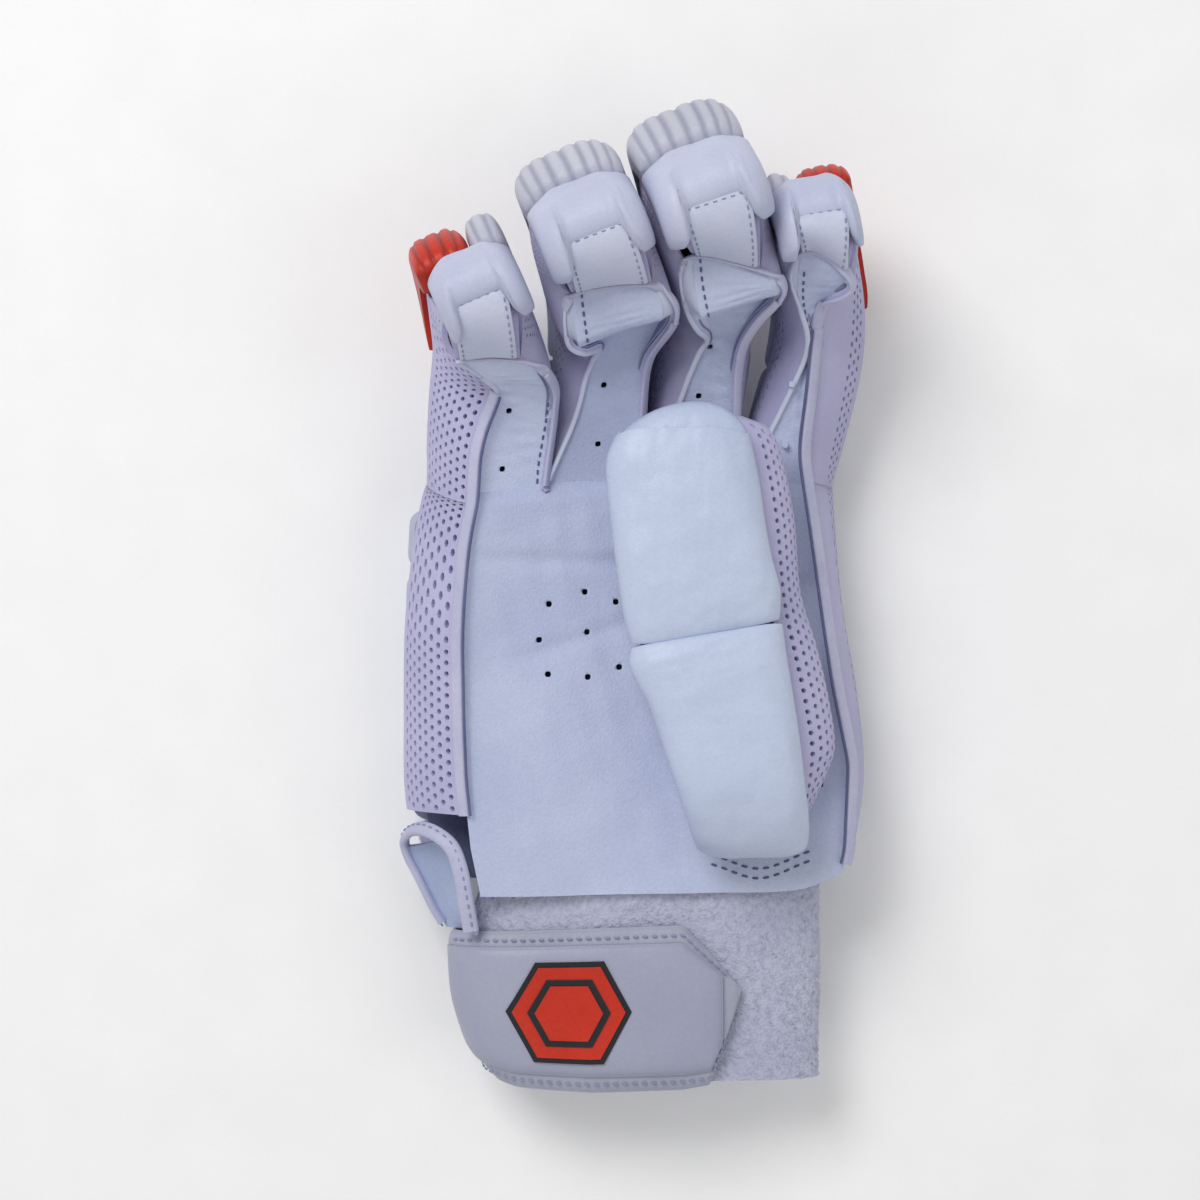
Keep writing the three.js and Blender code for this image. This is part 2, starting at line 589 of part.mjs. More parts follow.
// The long outer side, from the wrist along the hand and on up the outer finger. KNUCKLE_AT is the share of its
// length that lies on the hand, and it turns from the hand's side to the finger's over the end of that.
const KNUCKLE_AT = 0.46;
const KNUCKLE_BLEND_FROM = 0.7;
function outerSide(side, sleeve, from) {
  const hand = handSide(side);
  const finger = sleeve.side(side);
  const surface = (w, v) => {
    if (w >= KNUCKLE_AT) return finger((w - KNUCKLE_AT) / (1 - KNUCKLE_AT), v);
    const u = w / KNUCKLE_AT;
    return hand(u, v).lerp(finger(0, v), ease(share(u, KNUCKLE_BLEND_FROM, 1)));
  };
  return wall(surface, handMiddle, {
    u: [from * KNUCKLE_AT, 1],
    v: [footOf(surface), () => 1 - SIDE_TOP],
    nu: 26,
    nv: 3,
    innerHeight: -MESH,
  });
}

// Round piping that follows a finger's strip up one edge, over the tip and down the other.
function piping(sleeve, from) {
  const corner = (u, side) => {
    const s = sleeve.section(u);
    return sleeve.place(u, side * s.strip, s.rise);
  };
  const edge = [];
  for (let k = 0; k <= 14; k += 1) edge.push(mix(from, 0.98, k / 14));
  const left = edge.map((u) => corner(u, -1));
  const right = edge.map((u) => corner(u, 1)).reverse();
  const tip = sleeve.section(1);
  const over = [-0.55, 0.55].map((x) => {
    const f = sleeve.frame(1);
    return sleeve.place(1, x * tip.strip, tip.rise).addScaledVector(f.along, PIPING_RADIUS * 0.6);
  });
  return tube([...left, ...over, ...right], PIPING_RADIUS, 46);
}

// The cap that closes a fingertip between its tip roll and its strip.
function tipTab(sleeve) {
  const f = sleeve.frame(1);
  const s = sleeve.section(1);
  const reach = s.rise - PIPING_RADIUS - SEAM_GAP;
  const cap = (lift) => (i, j) => {
    const a = i / 4;
    const b = j / 4;
    const dome = TIP_DOME * arch(a) * arch(b);
    return sleeve.place(1, mix(s.backLeft - 0.5, s.backRight + 0.5, a), mix(-s.drop, reach, b))
      .addScaledVector(f.along, SEAM_GAP + dome + lift);
  };
  return betweenGrids(cap(LEATHER), cap(0), 4, 4);
}

// The padded rolls on the back of one finger.
function fingerRolls(finger, sleeve) {
  const over = (u, v) => {
    const s = sleeve.section(Math.min(u, 0.9));
    const half = (s.backRight - s.backLeft) / 2 + ROLL_OVERHANG;
    const centre = (s.backRight + s.backLeft) / 2;
    return sleeve.place(u, centre + mix(-half, half, v), -s.drop);
  };
  for (const roll of FINGER_ROLLS) {
    const geometry = pillow(over, sleeve.middle, {
      u: [roll.from, roll.to],
      nu: roll.steps,
      nv: 5,
      gap: ROLL_SEAT,
      puff: FINGER_PADDING * roll.puff,
      floor: 0,
    });
    const colour = roll.name === "pleated_roll" ? finger.colour : WHITE;
    addPiece(finger.name + "_" + roll.name, geometry, colour);
  }
}

// The thumb stall's section at a share of its length, in millimetres. Its floor stands THUMB_CLEARANCE over the
// palm at THUMB_ROOT, a share of the palm's width.
const thumbFloorZ = handPalm(THUMB_START / PALM_LENGTH, THUMB_ROOT).z + THUMB_CLEARANCE;
const thumbY = (at) => WRIST_Y + THUMB_START + THUMB_LENGTH * at;
function thumbSection(at) {
  const get = (name) => column(THUMB, name, at);
  return {
    topLeft: get("topLeft") * THUMB_WIDTH,
    topRight: get("topRight") * THUMB_WIDTH,
    lowLeft: get("lowLeft") * THUMB_WIDTH,
    lowRight: get("lowRight") * THUMB_WIDTH,
    top: thumbFloorZ + get("top") * THUMB_HEIGHT,
    low: thumbFloorZ + get("low") * THUMB_HEIGHT,
    bulge: get("bulge") * THUMB_WIDTH,
  };
}
const thumbMiddle = new THREE.Vector3(THUMB_WIDTH / 2, thumbY(0.5), thumbFloorZ + THUMB_HEIGHT / 2);
const thumbTop = (u, v) => {
  const s = thumbSection(u);
  return new THREE.Vector3(mix(s.topLeft, s.topRight, v), thumbY(u), s.top);
};
const thumbFloor = (u, v) => {
  const s = thumbSection(u);
  return new THREE.Vector3(mix(s.lowLeft, s.lowRight, v), thumbY(u), s.low);
};
const thumbSide = (side) => (u, v) => {
  const s = thumbSection(u);
  const low = side < 0 ? s.lowLeft : s.lowRight;
  const high = side < 0 ? s.topLeft : s.topRight;
  const bulge = side < 0 ? 0.4 : 1;
  return new THREE.Vector3(mix(low, high, v) + side * bulge * s.bulge * arch(v), thumbY(u), mix(s.low, s.top, v));
};

function thumb() {
  const edge = 0.05;
  addPiece("thumb_backing", wall(thumbTop, thumbMiddle, {
    u: [0, 1], v: [edge, 1 - edge], nu: 14, nv: 3, innerHeight: -MESH,
  }), WHITE);
  addPiece("thumb_underside", wall(thumbFloor, thumbMiddle, {
    u: [THUMB_FLOOR_FROM, 0.96], v: [0.09, 0.91], nu: 9, nv: 3, innerHeight: -LEATHER,
  }), PALM_BLUE);
  for (const [name, side, colour] of [["thumb_inner_side", -1, WHITE], ["thumb_mesh_side", 1, LILAC]])
    addPiece(name, wall(thumbSide(side), thumbMiddle, {
      u: [0.01, 0.98], v: [0.02, 0.86], nu: 14, nv: 3, innerHeight: -MESH,
    }), colour);
  for (const pad of THUMB_PADS) {
    const last = pad.rows[pad.rows.length - 1].at;
    const first = pad.rows[0].at;
    const over = (u, v) => {
      const left = straightColumn(pad.rows, "left", u) * THUMB_WIDTH;
      const right = straightColumn(pad.rows, "right", u) * THUMB_WIDTH;
      const s = thumbSection(Math.min(u, 0.93));
      return new THREE.Vector3(mix(left, right, v), thumbY(u), s.top);
    };
    addPiece(pad.name, pillow(over, thumbMiddle, {
      u: [first, last], nu: 12, nv: 8, gap: SEAM_GAP, puff: THUMB_PADDING, edge: 0.25,
    }), WHITE, 0.45);
  }
}

// The cuff's outline at a share of its length, as a point s millimetres round it from its left side: over the
// palm for s above 0 and under the back for s below 0.
function cuffPoint(at, s) {
  const get = (name) => column(CUFF, name, at);
  const left = get("left") * CUFF_WIDTH;
  const right = get("right") * CUFF_WIDTH;
  const low = get("low") * HAND_HEIGHT;
  const high = get("high") * HAND_HEIGHT;
  const half = { x: (right - left) / 2, z: (high - low) / 2 };
  const centre = { x: (right + left) / 2, z: (high + low) / 2 };
  const power = 2 / CUFF_SQUARENESS;
  const outline = (angle) => {
    const c = Math.cos(angle);
    const n = Math.sin(angle);
    return new THREE.Vector3(
      centre.x - half.x * Math.sign(c) * Math.abs(c) ** power,
      WRIST_Y + CUFF_TUCK - (CUFF_LENGTH + CUFF_TUCK) * at,
      centre.z + half.z * Math.sign(n) * Math.abs(n) ** power,
    );
  };
  const steps = 240;
  const way = Math.sign(s) || 1;
  let travelled = 0;
  let point = outline(0);
  for (let k = 1; k <= steps; k += 1) {
    const next = outline((way * 2 * Math.PI * k) / steps);
    const leg = next.distanceTo(point);
    if (travelled + leg >= Math.abs(s)) return point.lerp(next, (Math.abs(s) - travelled) / leg);
    travelled += leg;
    point = next;
  }
  return point;
}

function cuff() {
  const middle = new THREE.Vector3(0, WRIST_Y - CUFF_LENGTH / 2, HAND_HEIGHT * 0.55);
  const roundCuff = 2 * (CUFF_WIDTH + CUFF_HEIGHT) * CUFF_ROUNDING;
  const towelling = (u, v) => cuffPoint(u, mix(SLIT_EDGE, roundCuff - SLIT_EDGE, v));
  addPiece("cuff_towelling", wall(towelling, middle, { nu: 5, nv: 28, innerHeight: -TOWELLING }), WHITE, 0.95);

  const strapY = (u, v) => mix(straightColumn(STRAP_EDGES, "upper", u), straightColumn(STRAP_EDGES, "lower", u), v);
  const cuffShare = (drop) => (CUFF_TUCK + STRAP_SETBACK + drop * STRAP_WIDTH) / (CUFF_LENGTH + CUFF_TUCK);
  const leftEdge = (at) => column(CUFF, "left", at) * CUFF_WIDTH;
  const slide = (at) => leftEdge(at) - leftEdge(cuffShare(0.5));
  const lift = (over, wide) => (u, v) => {
    const s = STRAP_START + STRAP_LENGTH * u;
    const at = cuffShare(0.5 + (strapY(u, v) - 0.5) * wide);
    const round = (a, b) => cuffPoint(Math.min(1, a), b).setY(WRIST_Y + CUFF_TUCK - (CUFF_LENGTH + CUFF_TUCK) * a);
    const along = s - slide(at) * share(s, STRAP_START, 0);
    const side = round(at, along + 0.5).sub(round(at, along - 0.5)).normalize();
    const away = new THREE.Vector3(side.z, 0, -side.x);
    const point = round(at, along);
    const outside = point.clone().sub(middle).setY(0).dot(away) < 0 ? -1 : 1;
    return point.addScaledVector(away, outside * over);
  };
  const layer = (base, thickness, wide, u, nu, nv) => {
    const place = (over) => (i, j) => lift(over, wide)(mix(u[0], u[1], i / nu), j / nv);
    return betweenGrids(place(base + thickness), place(base), nu, nv);
  };
  addPiece("strap", layer(STRAP_SEAT, STRAP, 1, [0, 1], 32, 6), WHITE, 0.5);
  const panelSeat = STRAP_SEAT + STRAP + PANEL_GAP;
  const panel = layer(panelSeat, STRAP_PANEL, PANEL_SHARE.wide, [PANEL_SHARE.from, PANEL_SHARE.to], 26, 6);
  addPiece("strap_panel", panel, WHITE, 0.45);
  badge(lift, panelSeat + STRAP_PANEL + SEAM_GAP);

  const back = (u, v) => cuffPoint(u, -mix(WRIST_PAD_INSET.left, roundCuff / 2 - WRIST_PAD_INSET.right, v));
  addPiece("wrist_pad", pillow(back, middle, {
    u: [0.12, 0.97], nu: 5, nv: 8, gap: ROLL_SEAT, puff: WRIST_PADDING, edge: 0.35, floor: 0,
  }), WHITE);
}

// A plain six-sided badge raised on the strap's panel.
function badge(lift, over) {
  const half = { u: BADGE.width / 2 / STRAP_LENGTH, v: BADGE.height / 2 / STRAP_WIDTH };
  const centre = { u: BADGE.along, v: 0.5 };
  const place = (height) => (i, j) => {
    const t = (j / 4) * 2 - 1;
    const reach = half.u * (1 - BADGE.taper * Math.abs(t));
    return lift(height, 1)(centre.u + mix(-reach, reach, i / 6), centre.v + half.v * t);
  };
  addPiece("strap_badge", betweenGrids(place(over + BADGE.thickness), place(over), 6, 4), RED, 0.4);
}

// The open slit at the left of the wrist, with its rolled binding and the facing inside it.
function slitPieces() {
  const point = (row) => new THREE.Vector3(
    row.across * PALM_WIDTH, WRIST_Y + row.along * CUFF_LENGTH, row.height * HAND_HEIGHT);
  addPiece("slit_binding", tube(SLIT_BINDING.map(point), BINDING_RADIUS, 24), WHITE, 0.5);
}

addPiece("palm_leather", palmLeather(), PALM_BLUE);
addPiece("little_strip", fingerStrip(sleeves[0], [0.008, 0.98]), PALM_BLUE);
addPiece("back_panel", backPanel(), WHITE, 0.8);
addPiece("little_side_mesh", outerSide(-1, sleeves[0], 0.2), LILAC, 0.8);
addPiece("index_side", outerSide(1, sleeves[3], 0.02), LILAC, 0.8);
["little_ring", "ring_middle", "middle_index"].forEach((pair, k) => {
  addPiece(pair + "_fourchette", fourchette(sleeves[k], sleeves[k + 1]), LILAC, 0.8);
});
FINGERS.forEach((finger, k) => {
  addPiece(finger.name + "_piping", piping(sleeves[k], 0.05), LILAC, 0.5);
  addPiece(finger.name + "_tip_tab", tipTab(sleeves[k]), WHITE, 0.5);
  fingerRolls(finger, sleeves[k]);
});
for (const roll of HAND_ROLLS)
  addPiece(roll.name, pillow(handBack, handMiddle, {
    u: [roll.from, roll.to], v: [0.015, 0.985], nu: 5, nv: 10, gap: ROLL_SEAT, puff: BACK_PADDING, floor: 0,
  }), WHITE);
thumb();
cuff();
slitPieces();

// The part stands on the floor, with its origin under the middle of its box.
const box = new THREE.Box3().setFromObject(glove);
const middle = box.getCenter(new THREE.Vector3());
glove.position.set(-middle.x, -middle.y, -box.min.z);

export default glove;
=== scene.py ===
"""A cricket batting glove for the right hand, empty, lying on its padded back with the palm up.

All sizes are in millimetres in the glove's own layout: +Y runs from the wrist to the fingertips, +X to the
thumb side and +Z up out of the palm. A mesh is turned into metres, and moved by the frame's shift, when it
is built.
"""
import logging
import math
from dataclasses import dataclass, field
from enum import Enum
from typing import Callable, Iterable, Optional, Sequence

import bpy
import numpy as np
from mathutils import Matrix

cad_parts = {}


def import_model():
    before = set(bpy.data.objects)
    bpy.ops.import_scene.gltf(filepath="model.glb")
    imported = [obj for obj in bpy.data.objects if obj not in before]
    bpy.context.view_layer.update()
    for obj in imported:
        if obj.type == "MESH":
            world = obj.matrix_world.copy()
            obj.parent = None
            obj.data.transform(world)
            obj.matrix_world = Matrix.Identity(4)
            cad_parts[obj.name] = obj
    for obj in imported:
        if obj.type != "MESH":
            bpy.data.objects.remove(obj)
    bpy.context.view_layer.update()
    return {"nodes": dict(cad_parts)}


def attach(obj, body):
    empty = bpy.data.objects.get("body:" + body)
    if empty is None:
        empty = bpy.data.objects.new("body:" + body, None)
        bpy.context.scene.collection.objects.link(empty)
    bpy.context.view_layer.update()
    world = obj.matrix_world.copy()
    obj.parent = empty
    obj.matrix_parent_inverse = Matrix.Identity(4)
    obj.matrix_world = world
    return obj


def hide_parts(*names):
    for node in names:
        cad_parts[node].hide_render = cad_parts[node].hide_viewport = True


LOG = logging.getLogger("glove")
MM = 0.001
Array = np.ndarray
Surface = Callable[[Array, Array], Array]


def ease(t: Array) -> Array:
    """A share with a soft start and end."""
    return t * t * (3 - 2 * t)


def share(value: Array, low: float, high: float) -> Array:
    """How far a value lies from low to high, kept within 0 and 1."""
    return np.clip((np.asarray(value, float) - low) / (high - low), 0.0, 1.0)


def arch(v: Array) -> Array:
    """0 at both ends of the range and 1 in its middle."""
    return 4 * v * (1 - v)


def mix(a: Array, b: Array, t: Array) -> Array:
    """The value a share t of the way from a to b."""
    return a + (b - a) * t


def unit(vectors: Array) -> Array:
    """The same directions with length 1."""
    return vectors / np.maximum(np.linalg.norm(vectors, axis=-1, keepdims=True), 1e-12)


def bell(distance: Array, width: float) -> Array:
    """1 on a line, falling softly to 0 over the width beside it."""
    return np.exp(-((np.asarray(distance) / width) ** 2))


class Table:
    """Rows of named columns, read along a smooth curve through the rows."""

    def __init__(self, names: str, rows: Sequence[Sequence[float]]) -> None:
        """Keeps the rows; the first column is the place of each row."""
        self.names = names.split()
        self.values = np.array(rows, float)
        self.at = self.values[:, 0]

    def get(self, name: str, at: Array) -> Array:
        """Reads a column.

        Args:
            name: the column's name.
            at: the places to read it at.

        Returns:
            The column's values there.
        """
        y = self.values[:, self.names.index(name)]
        x = self.at
        last = len(x) - 1
        t = np.clip(np.asarray(at, float), x[0], x[-1])
        i = np.clip(np.searchsorted(x, t, side="left") - 1, 0, last - 1)
        k = np.arange(last + 1)
        before, after = np.maximum(k - 1, 0), np.minimum(k + 1, last)
        slope = (y[after] - y[before]) / (x[after] - x[before])
        span = x[i + 1] - x[i]
        s = (t - x[i]) / span
        pull = s * (1 - s) * span
        return mix(y[i], y[i + 1], ease(s)) + pull * ((1 - s) * slope[i] - s * slope[i + 1])

    def points(self, names: str, at: Array) -> Array:
        """Three columns together, as points."""
        return np.stack([self.get(name, at) for name in names.split()], -1)


class Line(Table):
    """A curve through points, read by its share."""

    def __init__(self, rows: Sequence[Sequence[float]]) -> None:
        """Takes rows of share, x, y and z, or bare points, which are spread by their distances."""
        values = np.array(rows, float)
        if values.shape[1] == 3:
            legs = np.linalg.norm(np.diff(values, axis=0), axis=1)
            shares = np.concatenate([[0.0], np.cumsum(legs)]) / legs.sum()
            values = np.column_stack([shares, values])
        super().__init__("at x y z", values)

    def __call__(self, at: Array) -> Array:
        """The curve's points at these shares."""
        return self.points("x y z", at)

    def even(self, step: float, start: float = 0.0, end: float = 1.0) -> Array:
        """Points about one step apart from one share to another."""
        return evenly(self(np.linspace(start, end, 200)), step)


def evenly(path: Array, step: float) -> Array:
    """The same path with its points about one step apart."""
    legs = np.linalg.norm(np.diff(path, axis=0), axis=1)
    travelled = np.concatenate([[0.0], np.cumsum(legs)])
    count = max(2, int(round(travelled[-1] / step)) + 1)
    wanted = np.linspace(0, travelled[-1], count)
    return np.stack([np.interp(wanted, travelled, path[:, k]) for k in range(3)], -1)


class Ripple:
    """Soft uneven waves over a surface, the same on each run."""

    def __init__(self, seed: int, size: float, waves: int = 9) -> None:
        """Draws waves about size millimetres long."""
        draw = np.random.default_rng(seed)
        angle = draw.uniform(0, 2 * math.pi, waves)
        length = size * draw.uniform(0.65, 1.7, waves)
        self.across = 2 * math.pi * np.cos(angle) / length
        self.along = 2 * math.pi * np.sin(angle) / length
        self.phase = draw.uniform(0, 2 * math.pi, waves)

    def __call__(self, a: Array, b: Array) -> Array:
        """The waves' height, mostly from -1 to 1."""
        a, b = np.broadcast_arrays(np.asarray(a, float), np.asarray(b, float))
        angles = a[..., None] * self.across + b[..., None] * self.along + self.phase
        return np.sin(angles).mean(-1) * math.sqrt(len(self.phase)) * 0.8


class Skin:
    """A surface with an outer side."""

    def __init__(self, surface: Surface, inner: Array) -> None:
        """The outer side faces away from the inner point at the surface's middle."""
        self.surface = surface
        self.sign = 1.0
        half = np.array(0.5)
        if np.dot(self.normal(half, half), surface(half, half) - inner) < 0:
            self.sign = -1.0

    def normal(self, u: Array, v: Array) -> Array:
        """The unit normals on the outer side."""
        step = 1e-3
        du = self.surface(u + step, v) - self.surface(u - step, v)
        dv = self.surface(u, v + step) - self.surface(u, v - step)
        return unit(np.cross(du, dv)) * self.sign

    def lift(self, u: Array, v: Array, height: Array) -> Array:
        """Points at a height over the outer side."""
        u, v, height = np.broadcast_arrays(np.asarray(u, float), np.asarray(v, float), height)
        return self.surface(u, v) + self.normal(u, v) * height[..., None]


@dataclass
class Pattern:
    """A flat cutting pattern: points in shares of its two sides, and faces between them."""

    points: Array
    faces: list

    @staticmethod
    def grid(nu: int, nv: int, keep: Optional[Callable[[float, float], bool]] = None) -> "Pattern":
        """A plain grid.

        Args:
            nu: cells along the first side.
            nv: cells along the second side.
            keep: says whether the cell round a point is there.

        Returns:
            The pattern.
        """
        a, b = np.meshgrid(np.linspace(0, 1, nu + 1), np.linspace(0, 1, nv + 1), indexing="ij")
        faces = []
        for i in range(nu):
            for j in range(nv):
                if keep is None or keep((i + 0.5) / nu, (j + 0.5) / nv):
                    k = i * (nv + 1) + j
                    faces.append((k, k + nv + 1, k + nv + 2, k + 1))
        return Pattern(np.column_stack([a.ravel(), b.ravel()]), faces)

    @staticmethod
    def punched(cols: int, rows: int, hole: tuple, solid: Callable[[float, float], bool]) -> "Pattern":
        """Rows of holes, each row half a step from the next.

        Args:
            cols: holes along the first side.
            rows: rows of holes.
            hole: the holes' half sizes, as shares of a cell.
            solid: says whether the cell round a point has no hole.

        Returns:
            The pattern.
        """
        points, index, faces = [], {}, []

        def corner(x: float, y: float) -> int:
            """The number of the lattice's point there."""
            key = (round(2 * x), round(2 * y))
            if key not in index:
                index[key] = len(points)
                points.append((x / cols, y / rows))
            return index[key]

        for row in range(rows):
            cuts = [float(c) for c in range(cols + 1)]
            if row % 2:
                cuts = [0.0] + [c + 0.5 for c in range(cols)] + [float(cols)]
            for low, high in zip(cuts, cuts[1:]):
                if high - low < 0.9:
                    for y in (row, row + 0.5):
                        faces.append((corner(low, y), corner(high, y), corner(high, y + 0.5), corner(low, y + 0.5)))
                    continue
                mid, level = (low + high) / 2, row + 0.5
                rim = [corner(x, y) for x, y in (
                    (low, row), (mid, row), (high, row), (high, level),
                    (high, row + 1), (mid, row + 1), (low, row + 1), (low, level))]
                if solid(mid / cols, level / rows):
                    centre = len(points)
                    points.append((mid / cols, level / rows))
                    for k in (0, 2, 4, 6):
                        faces.append((rim[k], rim[(k + 1) % 8], centre, rim[k - 1]))
                    continue
                first = len(points)
                for k in range(8):
                    turn = math.radians(-135 + 45 * k)
                    x = mid + hole[0] * math.cos(turn)
                    points.append((x / cols, (level + hole[1] * math.sin(turn)) / rows))
                for k in range(8):
                    faces.append((rim[k], rim[(k + 1) % 8], first + (k + 1) % 8, first + k))
        return Pattern(np.array(points), faces)


class Mesh:
    """Collects vertices and faces in millimetres, then makes one Blender object of them."""

    shift = np.zeros(3)

    def __init__(self) -> None:
        """Starts empty."""
        self.points, self.lies, self.faces, self.slots = [], [], [], []
        self.count = 0

    def add(self, points: Array, faces: Iterable[tuple], lie: Optional[Array] = None, slot: int = 0) -> None:
        """Adds vertices with the faces between them.

        Args:
            points: the vertices.
            faces: tuples of their numbers.
            lie: for each vertex, millimetres along and across the cloth, and how much painted shade it takes.
            slot: the faces' material.
        """
        points = np.asarray(points, float).reshape(-1, 3)
        lie = np.zeros((len(points), 3)) if lie is None else np.asarray(lie, float).reshape(-1, 3)
        faces = [tuple(k + self.count for k in face) for face in faces]
        self.points.append(points)
        self.lies.append(lie)
        self.faces += faces
        self.slots += [slot] * len(faces)
        self.count += len(points)

    def closed(self, points: Array, faces: list, lie: Optional[Array] = None, slot: int = 0) -> None:
        """Adds a closed body, with its faces turned to point out."""
        points = np.asarray(points, float).reshape(-1, 3)
        fans = np.array([(f[0], f[k], f[k + 1]) for f in faces for k in range(1, len(f) - 1)])
        a, b, c = (points[fans[:, k]] - points[0] for k in range(3))
        if np.einsum("ij,ij->i", a, np.cross(b, c)).sum() < 0:
            faces = [face[::-1] for face in faces]
        self.add(points, faces, lie, slot)

    def shell(self, pattern: Pattern, place: Callable[[Array, Array, Array], Array], thickness: float,
              size: tuple = (1.0, 1.0), painted_shade: Optional[Array] = None, slot: int = 0) -> None:
        """Adds a cut-out sheet with a thickness.

        Args:
            pattern: the flat pattern.
            place: gives points for two arrays of shares and a height over the surface.
            thickness: the sheet's thickness.
            size: the pattern's sides in millimetres.
            painted_shade: how much painted shade each point takes, such as in creases.
            slot: the faces' material.
        """
        a, b = pattern.points.T
        used = sorted({k for face in pattern.faces for k in face})
        new = {old: k for k, old in enumerate(used)}
        a, b = a[used], b[used]
        outer_faces = [tuple(new[k] for k in face) for face in pattern.faces]
        n = len(used)
        edges = {(f[k - 1], f[k]) for f in outer_faces for k in range(len(f))}
        walls = [(j, i, i + n, j + n) for i, j in edges if (j, i) not in edges]
        inner_faces = [tuple(k + n for k in face[::-1]) for face in outer_faces]
        points = np.concatenate([place(a, b, np.zeros(n)), place(a, b, np.full(n, -thickness))])
        depth = np.zeros(len(pattern.points)) if painted_shade is None else painted_shade
        lie = np.column_stack([a * size[0], b * size[1], depth[used]])
        self.closed(points, outer_faces + sorted(walls) + inner_faces, np.concatenate([lie, lie]), slot)

    def between(self, outer: Array, inner: Array, lie: Optional[Array] = None, slot: int = 0) -> None:
        """Adds a closed body between two grids of points of the same size."""
        nu, nv = outer.shape[0] - 1, outer.shape[1] - 1
        pattern = Pattern.grid(nu, nv)
        n = (nu + 1) * (nv + 1)
        edges = {(f[k - 1], f[k]) for f in pattern.faces for k in range(4)}
        walls = [(j, i, i + n, j + n) for i, j in edges if (j, i) not in edges]
        faces = pattern.faces + sorted(walls) + [tuple(k + n for k in f[::-1]) for f in pattern.faces]
        both = None if lie is None else np.concatenate([lie.reshape(-1, 3), lie.reshape(-1, 3)])
        self.closed(np.concatenate([outer.reshape(-1, 3), inner.reshape(-1, 3)]), faces, both, slot)

    def band(self, path: Array, up: Array, width: Array, thick: float, slot: int = 0, sides: int = 12) -> None:
        """Adds a flat rounded band along a path.

        Args:
            path: its middle line.
            up: the direction that its flat side faces, for each point or for all.
            width: its width, for each point or for all.
            thick: its thickness.
            slot: its material.
            sides: corners of its section.
        """
        n = len(path)
        tangent = unit(np.gradient(path, axis=0))
        side = unit(np.cross(tangent, np.broadcast_to(up, path.shape)))
        lift = np.cross(side, tangent)
        angle = 2 * math.pi * np.arange(sides) / sides
        c, s = np.cos(angle), np.sin(angle)
        wide = np.sign(c) * np.abs(c) ** 0.7
        high = np.sign(s) * np.abs(s) ** 0.8 * thick / 2
        half = np.broadcast_to(np.asarray(width, float), (n,)) / 2
        rings = (path[:, None] + side[:, None] * (wide[None, :, None] * half[:, None, None])
                 + lift[:, None] * high[None, :, None])
        faces = []
        for i in range(n - 1):
            for k in range(sides):
                m = (k + 1) % sides
                faces.append((i * sides + k, i * sides + m, (i + 1) * sides + m, (i + 1) * sides + k))
        faces.append(tuple(range(sides))[::-1])
        faces.append(tuple((n - 1) * sides + k for k in range(sides)))
        travelled = np.concatenate([[0.0], np.cumsum(np.linalg.norm(np.diff(path, axis=0), axis=1))])
        lie = np.zeros((n, sides, 3))
        lie[..., 0] = travelled[:, None]
        lie[..., 1] = wide * 2
        self.closed(rings, faces, lie, slot)

    def stitches(self, path: Array, up: Array, pitch: float = 3.1, length: float = 2.2,
                 radius: float = 0.34, slot: int = 0) -> None:
        """Adds a row of stitches along a path that lies on a surface with the given normals."""
        middles = evenly(path, pitch)
        tangent = unit(np.gradient(middles, axis=0))
        ups = np.broadcast_to(up, path.shape)
        near = np.linalg.norm(middles[:, None] - path[None], axis=-1).argmin(1)
        side = unit(np.cross(tangent, ups[near]))
        lift = np.cross(side, tangent)
        angle = 2 * math.pi * np.arange(6) / 6
        around = side[:, None] * np.cos(angle)[None, :, None] + lift[:, None] * np.sin(angle)[None, :, None]
        faces = [(0, 1 + (k + 1) % 6, 1 + k) for k in range(6)]
        faces += [(1 + k, 1 + (k + 1) % 6, 7 + (k + 1) % 6, 7 + k) for k in range(6)]
        faces += [(7 + k, 7 + (k + 1) % 6, 13) for k in range(6)]
        for k, middle in enumerate(middles):
            ahead = tangent[k] * length / 2
            sunk = lift[k] * radius
            ring = around[k] * radius
            body = np.concatenate([[middle - ahead - sunk], middle - ahead * 0.55 + ring,
                                   middle + ahead * 0.55 + ring, [middle + ahead - sunk]])
            self.closed(body, faces, None, slot)

    def build(self, name: str, materials: Sequence[bpy.types.Material], crisp: float = 50.0) -> bpy.types.Object:
        """Makes the object.

        Args:
            name: its name.
            materials: its materials, in the order of the slots.
            crisp: edges sharper than this angle, in degrees, stay crisp.

        Returns:
            The object, linked into the scene.
        """
        data = bpy.data.meshes.new(name)
        points = (np.concatenate(self.points) + Mesh.shift) * MM
        data.from_pydata(points.tolist(), [], self.faces)
        for material in materials:
            data.materials.append(material)
        data.polygons.foreach_set("material_index", self.slots)
        data.polygons.foreach_set("use_smooth", [True] * len(data.polygons))
        attribute = data.attributes.new("lie", "FLOAT_VECTOR", "POINT")
        attribute.data.foreach_set("vector", np.concatenate(self.lies).ravel())
        data.update()
        data.set_sharp_from_angle(angle=math.radians(crisp))
        made = bpy.data.objects.new(name, data)
        bpy.context.scene.collection.objects.link(made)
        LOG.info("%s: %d faces", name, len(self.faces))
        return made


def linear(code: str) -> tuple:
    """A colour code such as b4bcd2, as seen on a screen, as linear red, green, blue and alpha."""
    parts = [int(code[k:k + 2], 16) / 255 for k in (0, 2, 4)]
    return tuple(c / 12.92 if c <= 0.04045 else ((c + 0.055) / 1.055) ** 2.4 for c in parts) + (1.0,)


class Cloth(Enum):
    """The small relief that a finish has."""

    HIDE = "hide"
    KNIT = "knit"
    LOOPS = "loops"
    SMOOTH = "smooth"


